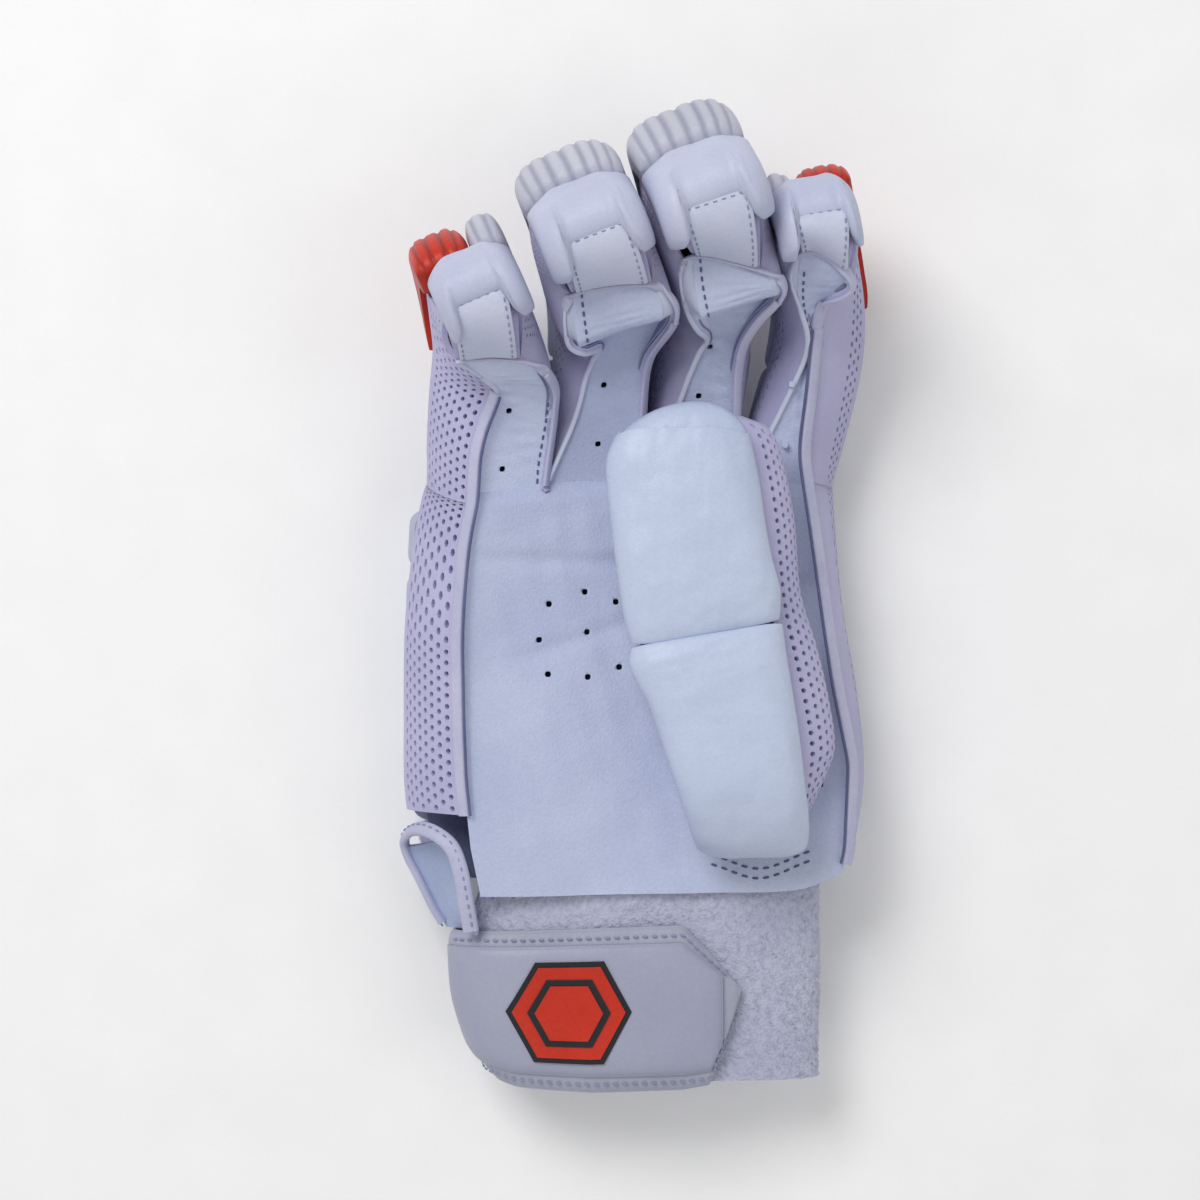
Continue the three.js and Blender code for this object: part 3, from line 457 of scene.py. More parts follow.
@dataclass(frozen=True)
class Finish:
    """One finish: its two tones, how far they vary, its gloss, its relief and the colour of its painted shade."""

    name: str
    light: str
    dark: str
    cloth: Cloth
    roughness: float
    grain: float = 1.1
    relief: float = 0.12
    blotch: float = 22.0
    sheen: float = 0.0
    specular: float = 0.35
    # the colour that painted shade in creases, seams and hollows mixes towards
    painted_shade: str = "8288a0"

    def material(self) -> bpy.types.Material:
        """The finish's material, made on first use."""
        return bpy.data.materials.get(self.name + "_finish") or Dresser.dress(self)


class Groups:
    """The shader node groups that the finishes share."""

    @staticmethod
    def start(name: str, inputs: Sequence[tuple], outputs: Sequence[tuple]) -> tuple:
        """Starts a group.

        Args:
            name: the group's name.
            inputs: each input's name, socket type and default.
            outputs: each output's name and socket type.

        Returns:
            The group, its input node and its output node.
        """
        group = bpy.data.node_groups.new(name, "ShaderNodeTree")
        for label, kind, default in inputs:
            socket = group.interface.new_socket(name=label, in_out="INPUT", socket_type=kind)
            socket.default_value = default
        for label, kind in outputs:
            group.interface.new_socket(name=label, in_out="OUTPUT", socket_type=kind)
        return group, group.nodes.new("NodeGroupInput"), group.nodes.new("NodeGroupOutput")

    @staticmethod
    def node(tree: bpy.types.NodeTree, kind: str, links: Optional[dict] = None, **settings: object) -> bpy.types.Node:
        """Adds a node, with settings as attributes and links or values for its inputs."""
        made = tree.nodes.new(kind)
        for key, value in settings.items():
            setattr(made, key, value)
        for key, value in (links or {}).items():
            if isinstance(value, bpy.types.NodeSocket):
                tree.links.new(value, made.inputs[key])
            else:
                made.inputs[key].default_value = value
        return made

    @staticmethod
    def maths(tree: bpy.types.NodeTree, operation: str, first: object, second: object = 0.0) -> bpy.types.NodeSocket:
        """The result of a sum on one or two values."""
        return Groups.node(tree, "ShaderNodeMath", {0: first, 1: second}, operation=operation).outputs[0]

    @staticmethod
    def tone() -> bpy.types.NodeTree:
        """Soft uneven colour: two tones in blotches and fine specks, mixed towards a painted shade colour where the lie
        attribute asks for shade.
        """
        made = bpy.data.node_groups.get("uneven_tone")
        if made:
            return made
        colour, number = "NodeSocketColor", "NodeSocketFloat"
        group, given, result = Groups.start("uneven_tone", [
            ("Light", colour, (0.8, 0.8, 0.8, 1)), ("Dark", colour, (0.6, 0.6, 0.6, 1)),
            ("PaintedShade", colour, (0.3, 0.3, 0.35, 1)), ("Blotch", number, 22.0), ("Roughness", number, 0.5),
        ], [("Colour", colour), ("Roughness", number)])
        place = Groups.node(group, "ShaderNodeTexCoord").outputs["Object"]
        metres = Groups.maths(group, "DIVIDE", 1000.0, given.outputs["Blotch"])
        large = Groups.node(group, "ShaderNodeTexNoise", {"Vector": place, "Scale": metres, "Detail": 3.0})
        small = Groups.node(group, "ShaderNodeTexNoise", {"Vector": place, "Scale": 900.0, "Detail": 2.0})
        both = Groups.maths(group, "MULTIPLY", small.outputs["Fac"], 0.35)
        both = Groups.maths(group, "MULTIPLY_ADD", large.outputs["Fac"], 0.65)
        ramp = Groups.node(group, "ShaderNodeMapRange", {"Value": large.outputs["Fac"], "From Min": 0.32, "From Max": 0.68})
        specks = Groups.node(group, "ShaderNodeMapRange", {
            "Value": small.outputs["Fac"], "From Min": 0.3, "From Max": 0.7, "To Min": 0.0, "To Max": 0.35})
        amount = Groups.maths(group, "MULTIPLY_ADD", ramp.outputs[0], 0.65)
        group.links.new(specks.outputs[0], amount.node.inputs[2])
        group.nodes.remove(both.node)
        base = Groups.node(group, "ShaderNodeMix", {"Factor": amount}, data_type="RGBA")
        group.links.new(given.outputs["Light"], base.inputs["A"])
        group.links.new(given.outputs["Dark"], base.inputs["B"])
        # Painted shade: the third part of lie mixes the colour towards the shade colour input.
        lie = Groups.node(group, "ShaderNodeAttribute", attribute_name="lie")
        depth = Groups.node(group, "ShaderNodeSeparateXYZ", {0: lie.outputs["Vector"]}).outputs["Z"]
        shaded = Groups.node(group, "ShaderNodeMix", {"Factor": depth}, data_type="RGBA")
        group.links.new(base.outputs["Result"], shaded.inputs["A"])
        group.links.new(given.outputs["PaintedShade"], shaded.inputs["B"])
        group.links.new(shaded.outputs["Result"], result.inputs["Colour"])
        rough = Groups.maths(group, "MULTIPLY_ADD", amount, 0.12)
        group.links.new(given.outputs["Roughness"], rough.node.inputs[2])
        group.links.new(rough, result.inputs["Roughness"])
        return group

    @staticmethod
    def hide() -> bpy.types.NodeTree:
        """Leather's relief: fine pebbles with soft wrinkles between them."""
        made = bpy.data.node_groups.get("hide_relief")
        if made:
            return made
        number = "NodeSocketFloat"
        group, given, result = Groups.start("hide_relief", [("Grain", number, 1.1)], [("Height", number)])
        place = Groups.node(group, "ShaderNodeTexCoord").outputs["Object"]
        scale = Groups.maths(group, "DIVIDE", 1000.0, given.outputs["Grain"])
        pebbles = Groups.node(group, "ShaderNodeTexVoronoi", {"Vector": place, "Scale": scale},
                              feature="DISTANCE_TO_EDGE")
        flat = Groups.node(group, "ShaderNodeMapRange", {"Value": pebbles.outputs["Distance"], "From Max": 0.22})
        folds = Groups.node(group, "ShaderNodeTexNoise", {"Vector": place, "Scale": 150.0, "Detail": 4.0,
                                                          "Distortion": 0.6})
        height = Groups.maths(group, "MULTIPLY_ADD", folds.outputs["Fac"], 2.2)
        group.links.new(flat.outputs[0], height.node.inputs[2])
        group.links.new(height, result.inputs["Height"])
        return group

    @staticmethod
    def knit() -> bpy.types.NodeTree:
        """Knitted mesh's relief: rows of small loops that follow the cloth."""
        made = bpy.data.node_groups.get("knit_relief")
        if made:
            return made
        number = "NodeSocketFloat"
        group, given, result = Groups.start("knit_relief", [("Grain", number, 0.7)], [("Height", number)])
        lie = Groups.node(group, "ShaderNodeAttribute", attribute_name="lie").outputs["Vector"]
        parts = Groups.node(group, "ShaderNodeSeparateXYZ", {0: lie})
        turns = Groups.maths(group, "DIVIDE", 2 * math.pi, given.outputs["Grain"])
        waves = []
        for axis, ratio in (("X", 1.0), ("Y", 1.35)):
            phase = Groups.maths(group, "MULTIPLY", parts.outputs[axis], turns)
            waves.append(Groups.maths(group, "SINE", Groups.maths(group, "MULTIPLY", phase, ratio)))
        height = Groups.maths(group, "MULTIPLY", waves[0], waves[1])
        group.links.new(height, result.inputs["Height"])
        return group

    @staticmethod
    def loops() -> bpy.types.NodeTree:
        """Towelling's relief: a close pile of small loops."""
        made = bpy.data.node_groups.get("loop_relief")
        if made:
            return made
        number = "NodeSocketFloat"
        group, given, result = Groups.start("loop_relief", [("Grain", number, 0.9)], [("Height", number)])
        place = Groups.node(group, "ShaderNodeTexCoord").outputs["Object"]
        scale = Groups.maths(group, "DIVIDE", 1000.0, given.outputs["Grain"])
        pile = Groups.node(group, "ShaderNodeTexVoronoi", {"Vector": place, "Scale": scale}, feature="F1")
        height = Groups.maths(group, "SUBTRACT", 1.0, pile.outputs["Distance"])
        group.links.new(height, result.inputs["Height"])
        return group


class Dresser:
    """Makes the materials of the finishes."""

    @staticmethod
    def dress(finish: Finish) -> bpy.types.Material:
        """Builds a finish's material.

        Args:
            finish: the finish.

        Returns:
            Its material.
        """
        material = bpy.data.materials.new(finish.name + "_finish")
        material.use_nodes = True
        tree = material.node_tree
        shader = tree.nodes["Principled BSDF"]
        tone = Groups.node(tree, "ShaderNodeGroup", node_tree=Groups.tone())
        # The third colour given is the colour of painted shade.
        for label, value in (("Light", linear(finish.light)), ("Dark", linear(finish.dark)),
                             ("PaintedShade", linear(finish.painted_shade)), ("Blotch", finish.blotch),
                             ("Roughness", finish.roughness - 0.06)):
            tone.inputs[label].default_value = value
        tree.links.new(tone.outputs["Colour"], shader.inputs["Base Color"])
        tree.links.new(tone.outputs["Roughness"], shader.inputs["Roughness"])
        shader.inputs["Specular IOR Level"].default_value = finish.specular
        if finish.sheen:
            shader.inputs["Sheen Weight"].default_value = finish.sheen
            shader.inputs["Sheen Roughness"].default_value = 0.5
        makers = {Cloth.HIDE: Groups.hide, Cloth.SMOOTH: Groups.hide, Cloth.KNIT: Groups.knit, Cloth.LOOPS: Groups.loops}
        relief = Groups.node(tree, "ShaderNodeGroup", node_tree=makers[finish.cloth]())
        relief.inputs["Grain"].default_value = finish.grain
        bump = Groups.node(tree, "ShaderNodeBump", {"Height": relief.outputs["Height"], "Strength": 1.0,
                                                    "Distance": finish.relief * MM})
        tree.links.new(bump.outputs["Normal"], shader.inputs["Normal"])
        return material


PALM = Finish("palm_leather", "c6cee6", "b4bddb", Cloth.HIDE, 0.62, grain=1.3, relief=0.05, blotch=30,
              painted_shade="6e87b2")
# The palm leather painted lighter for the little finger's strip, to make up for the shade it lies in.
LITTLE_PALM_PAINTED_LIGHT = Finish("little_palm_leather", "d4dcf2", "c4cde8", Cloth.HIDE, 0.66, grain=1.0, relief=0.06, blotch=18)
PAD = Finish("padding_leather", "c9cde4", "bbc0da", Cloth.HIDE, 0.42, grain=0.9, relief=0.025, blotch=35)
PLEATED = Finish("pleated_leather", "cccdd9", "bdbecd", Cloth.HIDE, 0.45, grain=0.9, relief=0.025, blotch=30)
THUMB_PAD = Finish("thumb_leather", "c9d3ea", "b9c5e0", Cloth.HIDE, 0.42, grain=1.0, relief=0.025, blotch=40)
TAB = Finish("tab_leather", "d2d6e9", "c4cae0", Cloth.HIDE, 0.55, grain=0.9, relief=0.03)
BINDING = Finish("binding_leather", "c6c6de", "b4b5d2", Cloth.HIDE, 0.5, grain=0.8, relief=0.03, blotch=14)
MESH_CLOTH = Finish("mesh_fabric", "c9c6e8", "b9b7de", Cloth.KNIT, 0.8, grain=0.62, relief=0.06, sheen=0.2)
# Lining cloth; its dark colour is also painted shade where it shows through the punched holes.
LINING_AND_HOLE_SHADE = Finish("lining_cloth", "9196ba", "8288ae", Cloth.KNIT, 0.9, grain=0.7, relief=0.05)
RED = Finish("red_leather", "d2351f", "b92612", Cloth.HIDE, 0.42, grain=0.9, relief=0.025, painted_shade="6a120a")
TOWEL = Finish("towelling", "c4c7da", "b4b7ce", Cloth.LOOPS, 0.95, grain=0.85, relief=0.3, sheen=0.3, specular=0.1)
STRAP = Finish("strap_leather", "b2b4c4", "a4a6b8", Cloth.HIDE, 0.5, grain=0.9, relief=0.03)
STRAP_PANEL = Finish("strap_panel_leather", "abaec2", "9fa2b8", Cloth.HIDE, 0.42, grain=1.2, relief=0.02, blotch=45)
BLACK = Finish("badge_black", "26262c", "1b1b20", Cloth.SMOOTH, 0.5, grain=0.8, relief=0.02)
DARK = Finish("hole_shadow", "3c4163", "30355a", Cloth.SMOOTH, 0.9, grain=0.8, relief=0.01, specular=0.1)
THREAD = Finish("thread", "9aa0bf", "8187a8", Cloth.SMOOTH, 0.7, grain=0.4, relief=0.01)
DARK_THREAD = Finish("dark_thread", "666c90", "545a80", Cloth.SMOOTH, 0.7, grain=0.4, relief=0.01)
FACING = Finish("facing_cloth", "bcc8e4", "a9b6d8", Cloth.KNIT, 0.8, grain=0.5, relief=0.04)


class Parts:
    """Hands finished pieces to the frame."""

    @staticmethod
    def give(mesh: Mesh, name: str, finishes: Sequence[Finish], slot: str, nodes: Sequence[str] = (),
             fill: Optional[float] = None, cut: Optional[tuple] = None, held: str = "stretched",
             rests_on: Sequence[str] = ()) -> bpy.types.Object:
        """Builds a piece, hangs it on the root body and hides the CAD nodes that it stands for.

        Args:
            mesh: its collected mesh.
            name: its name.
            finishes: its finishes, one for each slot.
            slot: the record's slot; not used.
            nodes: the CAD nodes that it stands for.
            fill: how full a padded piece is; not used.
            cut: a cloth's flat width, length and area in millimetres.
            held: how a cloth is held; not used.
            rests_on: what a cloth lies on; not used.

        Returns:
            The piece.
        """
        piece = mesh.build(name, [finish.material() for finish in finishes])
        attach(piece, "root")
        if nodes:
            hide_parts(*nodes)
        if cut is not None:
            width, length, area = cut
            min(area, width * length) * MM * MM
        return piece

    @staticmethod
    def whole(*cuts: tuple) -> tuple:
        """The flat width, length and area of a cloth that runs on from one surface to the next."""
        return max(cut[0] for cut in cuts), sum(cut[1] for cut in cuts), sum(cut[2] for cut in cuts)

    @staticmethod
    def cut_of(place: Callable[[Array, Array], Array]) -> tuple:
        """A cloth's flat width, length and area, measured on its surface given in shares."""
        u, v = np.meshgrid(np.linspace(0, 1, 60), np.linspace(0, 1, 24), indexing="ij")
        p = place(u, v)
        along = np.linalg.norm(np.diff(p, axis=0), axis=-1).sum(0).max()
        across = np.linalg.norm(np.diff(p, axis=1), axis=-1).sum(1).max()
        first = np.cross(p[1:, :-1] - p[:-1, :-1], p[:-1, 1:] - p[:-1, :-1])
        second = np.cross(p[1:, :-1] - p[1:, 1:], p[:-1, 1:] - p[1:, 1:])
        area = (np.linalg.norm(first, axis=-1).sum() + np.linalg.norm(second, axis=-1).sum()) / 2
        return float(across), float(along), float(area)


WRIST_Y, PALM_LENGTH, PALM_WIDTH, BACK_WIDTH, HAND_HEIGHT = -79.0, 111.0, 100.0, 124.0, 40.0
PALM_CUP, BACK_SAG, SIDE_BULGE = 5.5, 8.0, 3.0
FINGER_CAVITY, FINGER_RISE, FINGER_PADDING = 18.0, 10.0, 12.5

HAND = Table("at palmLeft palmRight palmLeftZ palmRightZ cup backLeft backRight backLeftZ backRightZ sag", [
    (0.0, -0.425, 0.565, 0.94, 0.925, 0.0, -0.465, 0.47, 0.35, 0.35, 0.62),
    (0.2, -0.47, 0.573, 0.965, 0.91, 0.15, -0.515, 0.508, 0.42, 0.42, 0.8),
    (0.43, -0.478, 0.552, 1.0, 0.9, 0.45, -0.52, 0.498, 0.5, 0.46, 0.95),
    (0.72, -0.48, 0.505, 1.05, 0.888, 0.8, -0.515, 0.458, 0.58, 0.48, 0.9),
    (1.0, -0.435, 0.46, 1.075, 0.875, 1.0, -0.5, 0.445, 0.665, 0.44, 0.79),
])
HAND_ENDS = Table("at wrist knuckles", [
    (0.0, -0.01, 0.985), (0.12, -0.01, 0.99), (0.36, -0.005, 1.01),
    (0.64, 0.0, 1.045), (0.88, 0.008, 1.02), (1.0, 0.05, 1.01),
])
HAND_MIDDLE = np.array([0.0, WRIST_Y + PALM_LENGTH / 2, HAND_HEIGHT * 0.65])


def hand_y(u: Array, v: Array) -> Array:
    """How far up the hand a point lies."""
    low = HAND_ENDS.get("wrist", v) * PALM_LENGTH
    high = HAND_ENDS.get("knuckles", v) * PALM_LENGTH
    return WRIST_Y + mix(low, high, u)


def hand_sheet(u: Array, v: Array, side: str, width: float, drop: str, depth: float) -> Array:
    """One broad surface of the hand, the palm's or the back's."""
    left, right = (HAND.get(side + end, u) for end in ("Left", "Right"))
    low, high = (HAND.get(side + end + "Z", u) * HAND_HEIGHT for end in ("Left", "Right"))
    x = mix(left * width, right * width, v)
    z = mix(low, high, v) - HAND.get(drop, u) * depth * arch(v)
    return np.stack(np.broadcast_arrays(x, hand_y(u, v), z), -1)


def hand_palm(u: Array, v: Array) -> Array:
    """The palm, from the wrist to the knuckles and from left to right."""
    return hand_sheet(u, v, "palm", PALM_WIDTH, "cup", PALM_CUP)


def hand_back(u: Array, v: Array) -> Array:
    """The back of the hand under its lining."""
    return hand_sheet(u, v, "back", BACK_WIDTH, "sag", BACK_SAG)


FINGER_SECTIONS = Table("at widen strip back rise drop fold flare", [
    (0.0, 0.0, 0.8, 1.0, 0.5, 0.5, 0.0, 1.0), (0.35, 0.3, 0.64, 1.0, 0.47, 0.48, 0.0, 0.85),
    (0.58, 0.8, 0.66, 1.0, 0.45, 0.46, 0.2, 0.5), (0.75, 1.0, 0.82, 1.0, 0.42, 0.45, 0.5, 0.1),
    (0.9, 1.0, 0.84, 0.98, 0.42, 0.44, 1.0, 0.0), (1.0, 1.0, 0.72, 0.86, 0.4, 0.43, 0.1, 0.0),
])


@dataclass(frozen=True)
class FingerShape:
    """A finger's own sizes, and the seams and strip that the photograph shows, in millimetres."""

    name: str
    place: float
    straight: float
    bend: float
    tip: float
    curl: float
    turns: tuple
    widths: tuple
    outer: int
    flare: float
    left: tuple
    right: tuple
    rows: tuple
    over: tuple
    hem: float


FINGERS = (
    FingerShape(
        "little", 0.103, 40.4, 11, 11, 125, (-1.5, -24), (24, 23), -1, 7.5,
        left=((0, -44, 25.9, 42.3), (.1, -43.5, 32.6, 43), (.2, -43, 39.2, 43.8), (.3, -41.1, 46.7, 44.6),
              (.4, -38.1, 53.8, 46.5), (.48, -37.5, 56, 48.5), (.62, -39.7, 58.2, 52), (.8, -43.5, 60.7, 56),
              (1, -47, 62.8, 59.3)),
        right=((0, -25.2, 30.1, 37.2), (.12, -24.3, 37.6, 38.6), (.24, -23.2, 44.8, 40.6),
               (.36, -22.4, 51.3, 43.5), (.5, -22, 55.8, 48), (.68, -23.5, 59.3, 53.5), (.85, -26.3, 61.9, 57.5),
               (1, -31, 63.5, 59.8)),
        rows=((0, -44.1, 25.9, 42, -25.2, 27.4, 36.6), (.13, -43.3, 35.2, 43, -24.9, 35.5, 38),
              (.26, -42.5, 41.9, 44, -23.9, 41.6, 39.5), (.38, -40.6, 48, 44.6, -22.9, 47.4, 41.5),
              (.5, -38.1, 53.8, 46.3, -22.3, 52.6, 44.5), (.6, -37.5, 56.3, 49, -22.5, 56.3, 48.5),
              (.8, -42.3, 59, 54, -24.6, 59.6, 53.5), (1, -46.5, 62.1, 58.7, -28.9, 62.6, 58.3)),
        over=((-31, 63.5, 59.8), (-38.1, 64.3, 60.3), (-44.1, 63.8, 60), (-47.6, 63.1, 59.2)), hem=1.0),
    FingerShape(
        "ring", 0.359, 57.7, 12, 17, 128, (5, -22), (24.2, 26.5), 0, 0,
        left=((0, -23.8, 32.8, 36.8), (.07, -20.8, 39.6, 37.8), (.14, -17.6, 46.8, 39), (.21, -15.4, 53.5, 40.4),
              (.28, -13.8, 60.1, 42), (.35, -11.6, 65.3, 44), (.42, -10, 67.3, 47.5), (.5, -14, 65.7, 51),
              (.58, -17.9, 67.2, 54), (.7, -19.2, 72.7, 57.5), (.85, -18.9, 77.4, 60.5), (1, -17.3, 80.2, 63)),
        right=((0, .9, 33, 33.6), (.1, 1.1, 42.4, 35.5), (.2, 1.4, 51.2, 37.6), (.29, 1.9, 59.7, 40),
               (.36, 3.2, 65.3, 43.5), (.45, 6.5, 69.6, 48.5), (.55, 9.3, 73.2, 53), (.68, 10, 76.8, 58),
               (.82, 7.8, 80.3, 61.8), (1, 3.6, 83, 63.6)),
        rows=((0, -23.8, 32.9, 36.6, .9, 33, 33.4), (.12, -17.6, 46.8, 38.8, 1.4, 46.4, 36.4),
              (.24, -13.8, 60.1, 41.6, 1.6, 58.4, 39.4), (.32, -10.5, 66.9, 43.6, 3.2, 65.7, 42.5),
              (.4, -9.7, 70.5, 45.5, 6.1, 71.3, 45), (.5, -11.6, 72.8, 49, 7, 75.4, 50),
              (.6, -15.3, 69.7, 53, 6.9, 75.9, 55), (.68, -15.8, 66.7, 56.5, 6.8, 73.9, 58.8),
              (.74, -16.3, 67.8, 58.6, 6.8, 75, 60.6), (.87, -17.1, 73.1, 60.8, 6.5, 78.2, 62),
              (1, -17.6, 78.7, 62.3, 4.4, 81.8, 63)),
        over=((3.6, 83, 63.6), (-4.8, 83, 64.4), (-12.6, 81.9, 64.2), (-17.3, 80.2, 63)), hem=.84),
    FingerShape(
        "middle", 0.642, 64.8, 12, 19, 130, (8, -20), (24.4, 27.5), 0, 0,
        left=((0, 6.9, 42.5, 34.5), (.08, 9.3, 48.7, 35.5), (.16, 11.7, 54, 36.8), (.24, 14.3, 61.2, 38.8),
              (.32, 16.9, 67.1, 41.5), (.4, 18.7, 70, 44.5), (.5, 15.9, 72.3, 48.5), (.6, 13.3, 76.4, 52.5),
              (.72, 11.6, 81.4, 57), (.86, 11.2, 86.7, 61), (1, 12.2, 89.6, 63)),
        right=((0, 26.8, 35.8, 33), (.1, 26.7, 45.2, 35), (.2, 26.8, 53.2, 36.8), (.28, 27, 61.1, 39.2),
               (.36, 28.2, 68.3, 43), (.46, 31.9, 74.4, 48.5), (.56, 36.3, 78.7, 53.5), (.7, 38.4, 81.8, 58),
               (.84, 36.6, 84.8, 61.5), (1, 31.8, 86.7, 63)),
        rows=((0, 6.9, 42.5, 34.3, 26.7, 43.8, 34.6), (.12, 11.7, 54, 36.6, 26.8, 53.2, 36.6),
              (.24, 15.9, 64.6, 39.8, 27.3, 61.9, 39.2), (.32, 18.5, 69.7, 42.5, 28.7, 68.9, 42.8),
              (.4, 19.2, 72.6, 45.5, 32, 73.8, 47), (.5, 17.7, 76.2, 49.5, 34.6, 79.5, 51),
              (.6, 16.5, 75.8, 53, 35.4, 81.4, 55.5), (.68, 16.6, 73.6, 56.5, 36, 80.2, 58.8),
              (.74, 16, 74.7, 58.8, 36.1, 81.3, 60.6), (.87, 14.6, 81.5, 61, 35.3, 83, 61.8),
              (1, 13.8, 88.6, 62.8, 32.3, 86, 62.5)),
        over=((31.8, 86.7, 63), (25.2, 88.7, 64.2), (18.7, 90.3, 64.6), (14, 90.5, 63.8)), hem=.84),
    FingerShape(
        "index", 0.9, 54.5, 11, 13, 109, (16, -12), (21.5, 21.5), 1, 5,
        left=((0, 28.5, 30.3, 33), (.08, 32.8, 39, 34), (.16, 36.8, 46.8, 35.2), (.24, 40.2, 53.7, 36.6),
              (.32, 43.3, 60.4, 38.6), (.4, 45.5, 66.1, 41), (.47, 45.8, 70.6, 44), (.56, 44.2, 75.6, 48),
              (.68, 42, 80.4, 52.5), (.84, 40.3, 84.6, 57), (1, 40.8, 88.9, 60.5)),
        right=((0, 46, 32.9, 34.8), (.08, 45.2, 39.7, 35.6), (.15, 45.4, 44.5, 36.2), (.25, 46.6, 54.5, 37.6),
               (.34, 47.3, 62.5, 39), (.43, 47.9, 70.8, 42), (.52, 48.6, 77.3, 46.5), (.6, 50.1, 79.8, 50.5),
               (.7, 53.5, 80.5, 54), (.82, 56.4, 82.5, 57), (1, 55.1, 85.9, 59.5)),
        rows=((0, 28.5, 30.3, 33, 46, 32.4, 34.6), (.14, 36.8, 46.8, 35.2, 45.4, 44.6, 36),
              (.27, 41.5, 56.4, 37.4, 46.6, 54.5, 37.4), (.4, 45.6, 66.1, 40.5, 47.5, 64.6, 39.6),
              (.5, 46.1, 71.4, 44, 48.1, 71.6, 42.5), (.62, 44.2, 75.6, 48, 49.3, 78.8, 48),
              (.75, 42.5, 79.9, 52, 52.4, 81.8, 54), (.88, 41.9, 84.6, 57, 54.5, 84.5, 57.5),
              (1, 42.5, 89, 60, 52.4, 87.9, 60)),
        over=((55.1, 85.9, 59.5), (51.8, 88.8, 61), (48.3, 91, 62), (44.9, 92.1, 62), (42.1, 90.9, 61)), hem=.86),
)


class Sleeve:
    """A finger's axis: straight and slightly rising from the knuckle, then curled back over the palm."""

    STEPS = 120
    ROOT_BLEND = 0.35
    ROLL_LEVEL = 0.8
    TURN_FROM = 0.4

    def __init__(self, shape: FingerShape) -> None:
        """Lays out the axis from the finger's place on the knuckles."""
        self.shape = shape
        start = hand_palm(np.array(1.0), np.array(shape.place))
        slope = hand_palm(np.array(1.0), shape.place + 0.01) - hand_palm(np.array(1.0), shape.place - 0.01)
        self.roll = math.atan2(-slope[2], slope[0])
        self.arc = shape.bend * math.radians(shape.curl - FINGER_RISE)
        self.length = shape.straight + self.arc + shape.tip
        self.root = start[2] - hand_back(np.array(1.0), np.array(shape.place))[2]
        palmar = self.directions(np.array(0.0))[2]
        middles = (np.arange(self.STEPS) + 0.5) * self.length / self.STEPS
        steps = self.directions(middles)[0] * self.length / self.STEPS
        self.centres = start - palmar * self.root * 0.5 + np.concatenate([np.zeros((1, 3)), np.cumsum(steps, 0)])

    def directions(self, s: Array) -> tuple:
        """The finger's directions along, across and out of the palm, s millimetres from its root."""
        shape = self.shape
        pitch = np.radians(FINGER_RISE + (shape.curl - FINGER_RISE) * share(s - shape.straight, 0, self.arc))
        turned = ease(share(s, shape.straight * self.TURN_FROM, shape.straight + self.arc))
        turn = np.radians(mix(shape.turns[0], shape.turns[1], turned))
        lean = self.roll * (1 - ease(share(s, 0, self.length * self.ROLL_LEVEL)))
        zero = np.zeros_like(turn)
        along = np.stack([np.sin(turn) * np.cos(pitch), np.cos(turn) * np.cos(pitch), np.sin(pitch)], -1)
        level = np.stack([np.cos(turn), -np.sin(turn), zero], -1)
        upright = np.cross(level, along)
        across = level * np.cos(lean)[..., None] - upright * np.sin(lean)[..., None]
        palmar = upright * np.cos(lean)[..., None] + level * np.sin(lean)[..., None]
        return along, across, palmar

    def frame(self, u: Array) -> tuple:
        """The axis's point at a share of its length, and its three directions."""
        u = np.asarray(u, float)
        along, across, palmar = self.directions(np.clip(u, 0, 1) * self.length)
        k = np.clip(np.floor(u * self.STEPS).astype(int), 0, self.STEPS - 1)
        t = (u * self.STEPS - k)[..., None]
        return self.centres[k] * (1 - t) + self.centres[k + 1] * t, along, across, palmar

    def section(self, u: Array) -> tuple:
        """The back's left and right edges from the axis, and its depth under it."""
        shape = self.shape
        width = mix(shape.widths[0], shape.widths[1], FINGER_SECTIONS.get("widen", u))
        half = width / 2 * FINGER_SECTIONS.get("back", u)
        flare = shape.flare * FINGER_SECTIONS.get("flare", u)
        depth = mix(self.root, FINGER_CAVITY, ease(share(u, 0, self.ROOT_BLEND)))
        left = -half - (flare if shape.outer < 0 else 0)
        right = half + (flare if shape.outer > 0 else 0)
        return left, right, depth * FINGER_SECTIONS.get("drop", u)

    def place(self, u: Array, x: Array, n: Array) -> Array:
        """The point x across and n out of the palm from the axis."""
        centre, _, across, palmar = self.frame(u)
        return centre + across * np.asarray(x, float)[..., None] + palmar * np.asarray(n, float)[..., None]

    def back(self, u: Array, v: Array, overhang: float = 0.0, cap: float = 1.0) -> Array:
        """The surface under the finger's padding."""
        left, right, drop = self.section(np.minimum(u, cap))
        return self.place(u, mix(left - overhang, right + overhang, v), -drop)


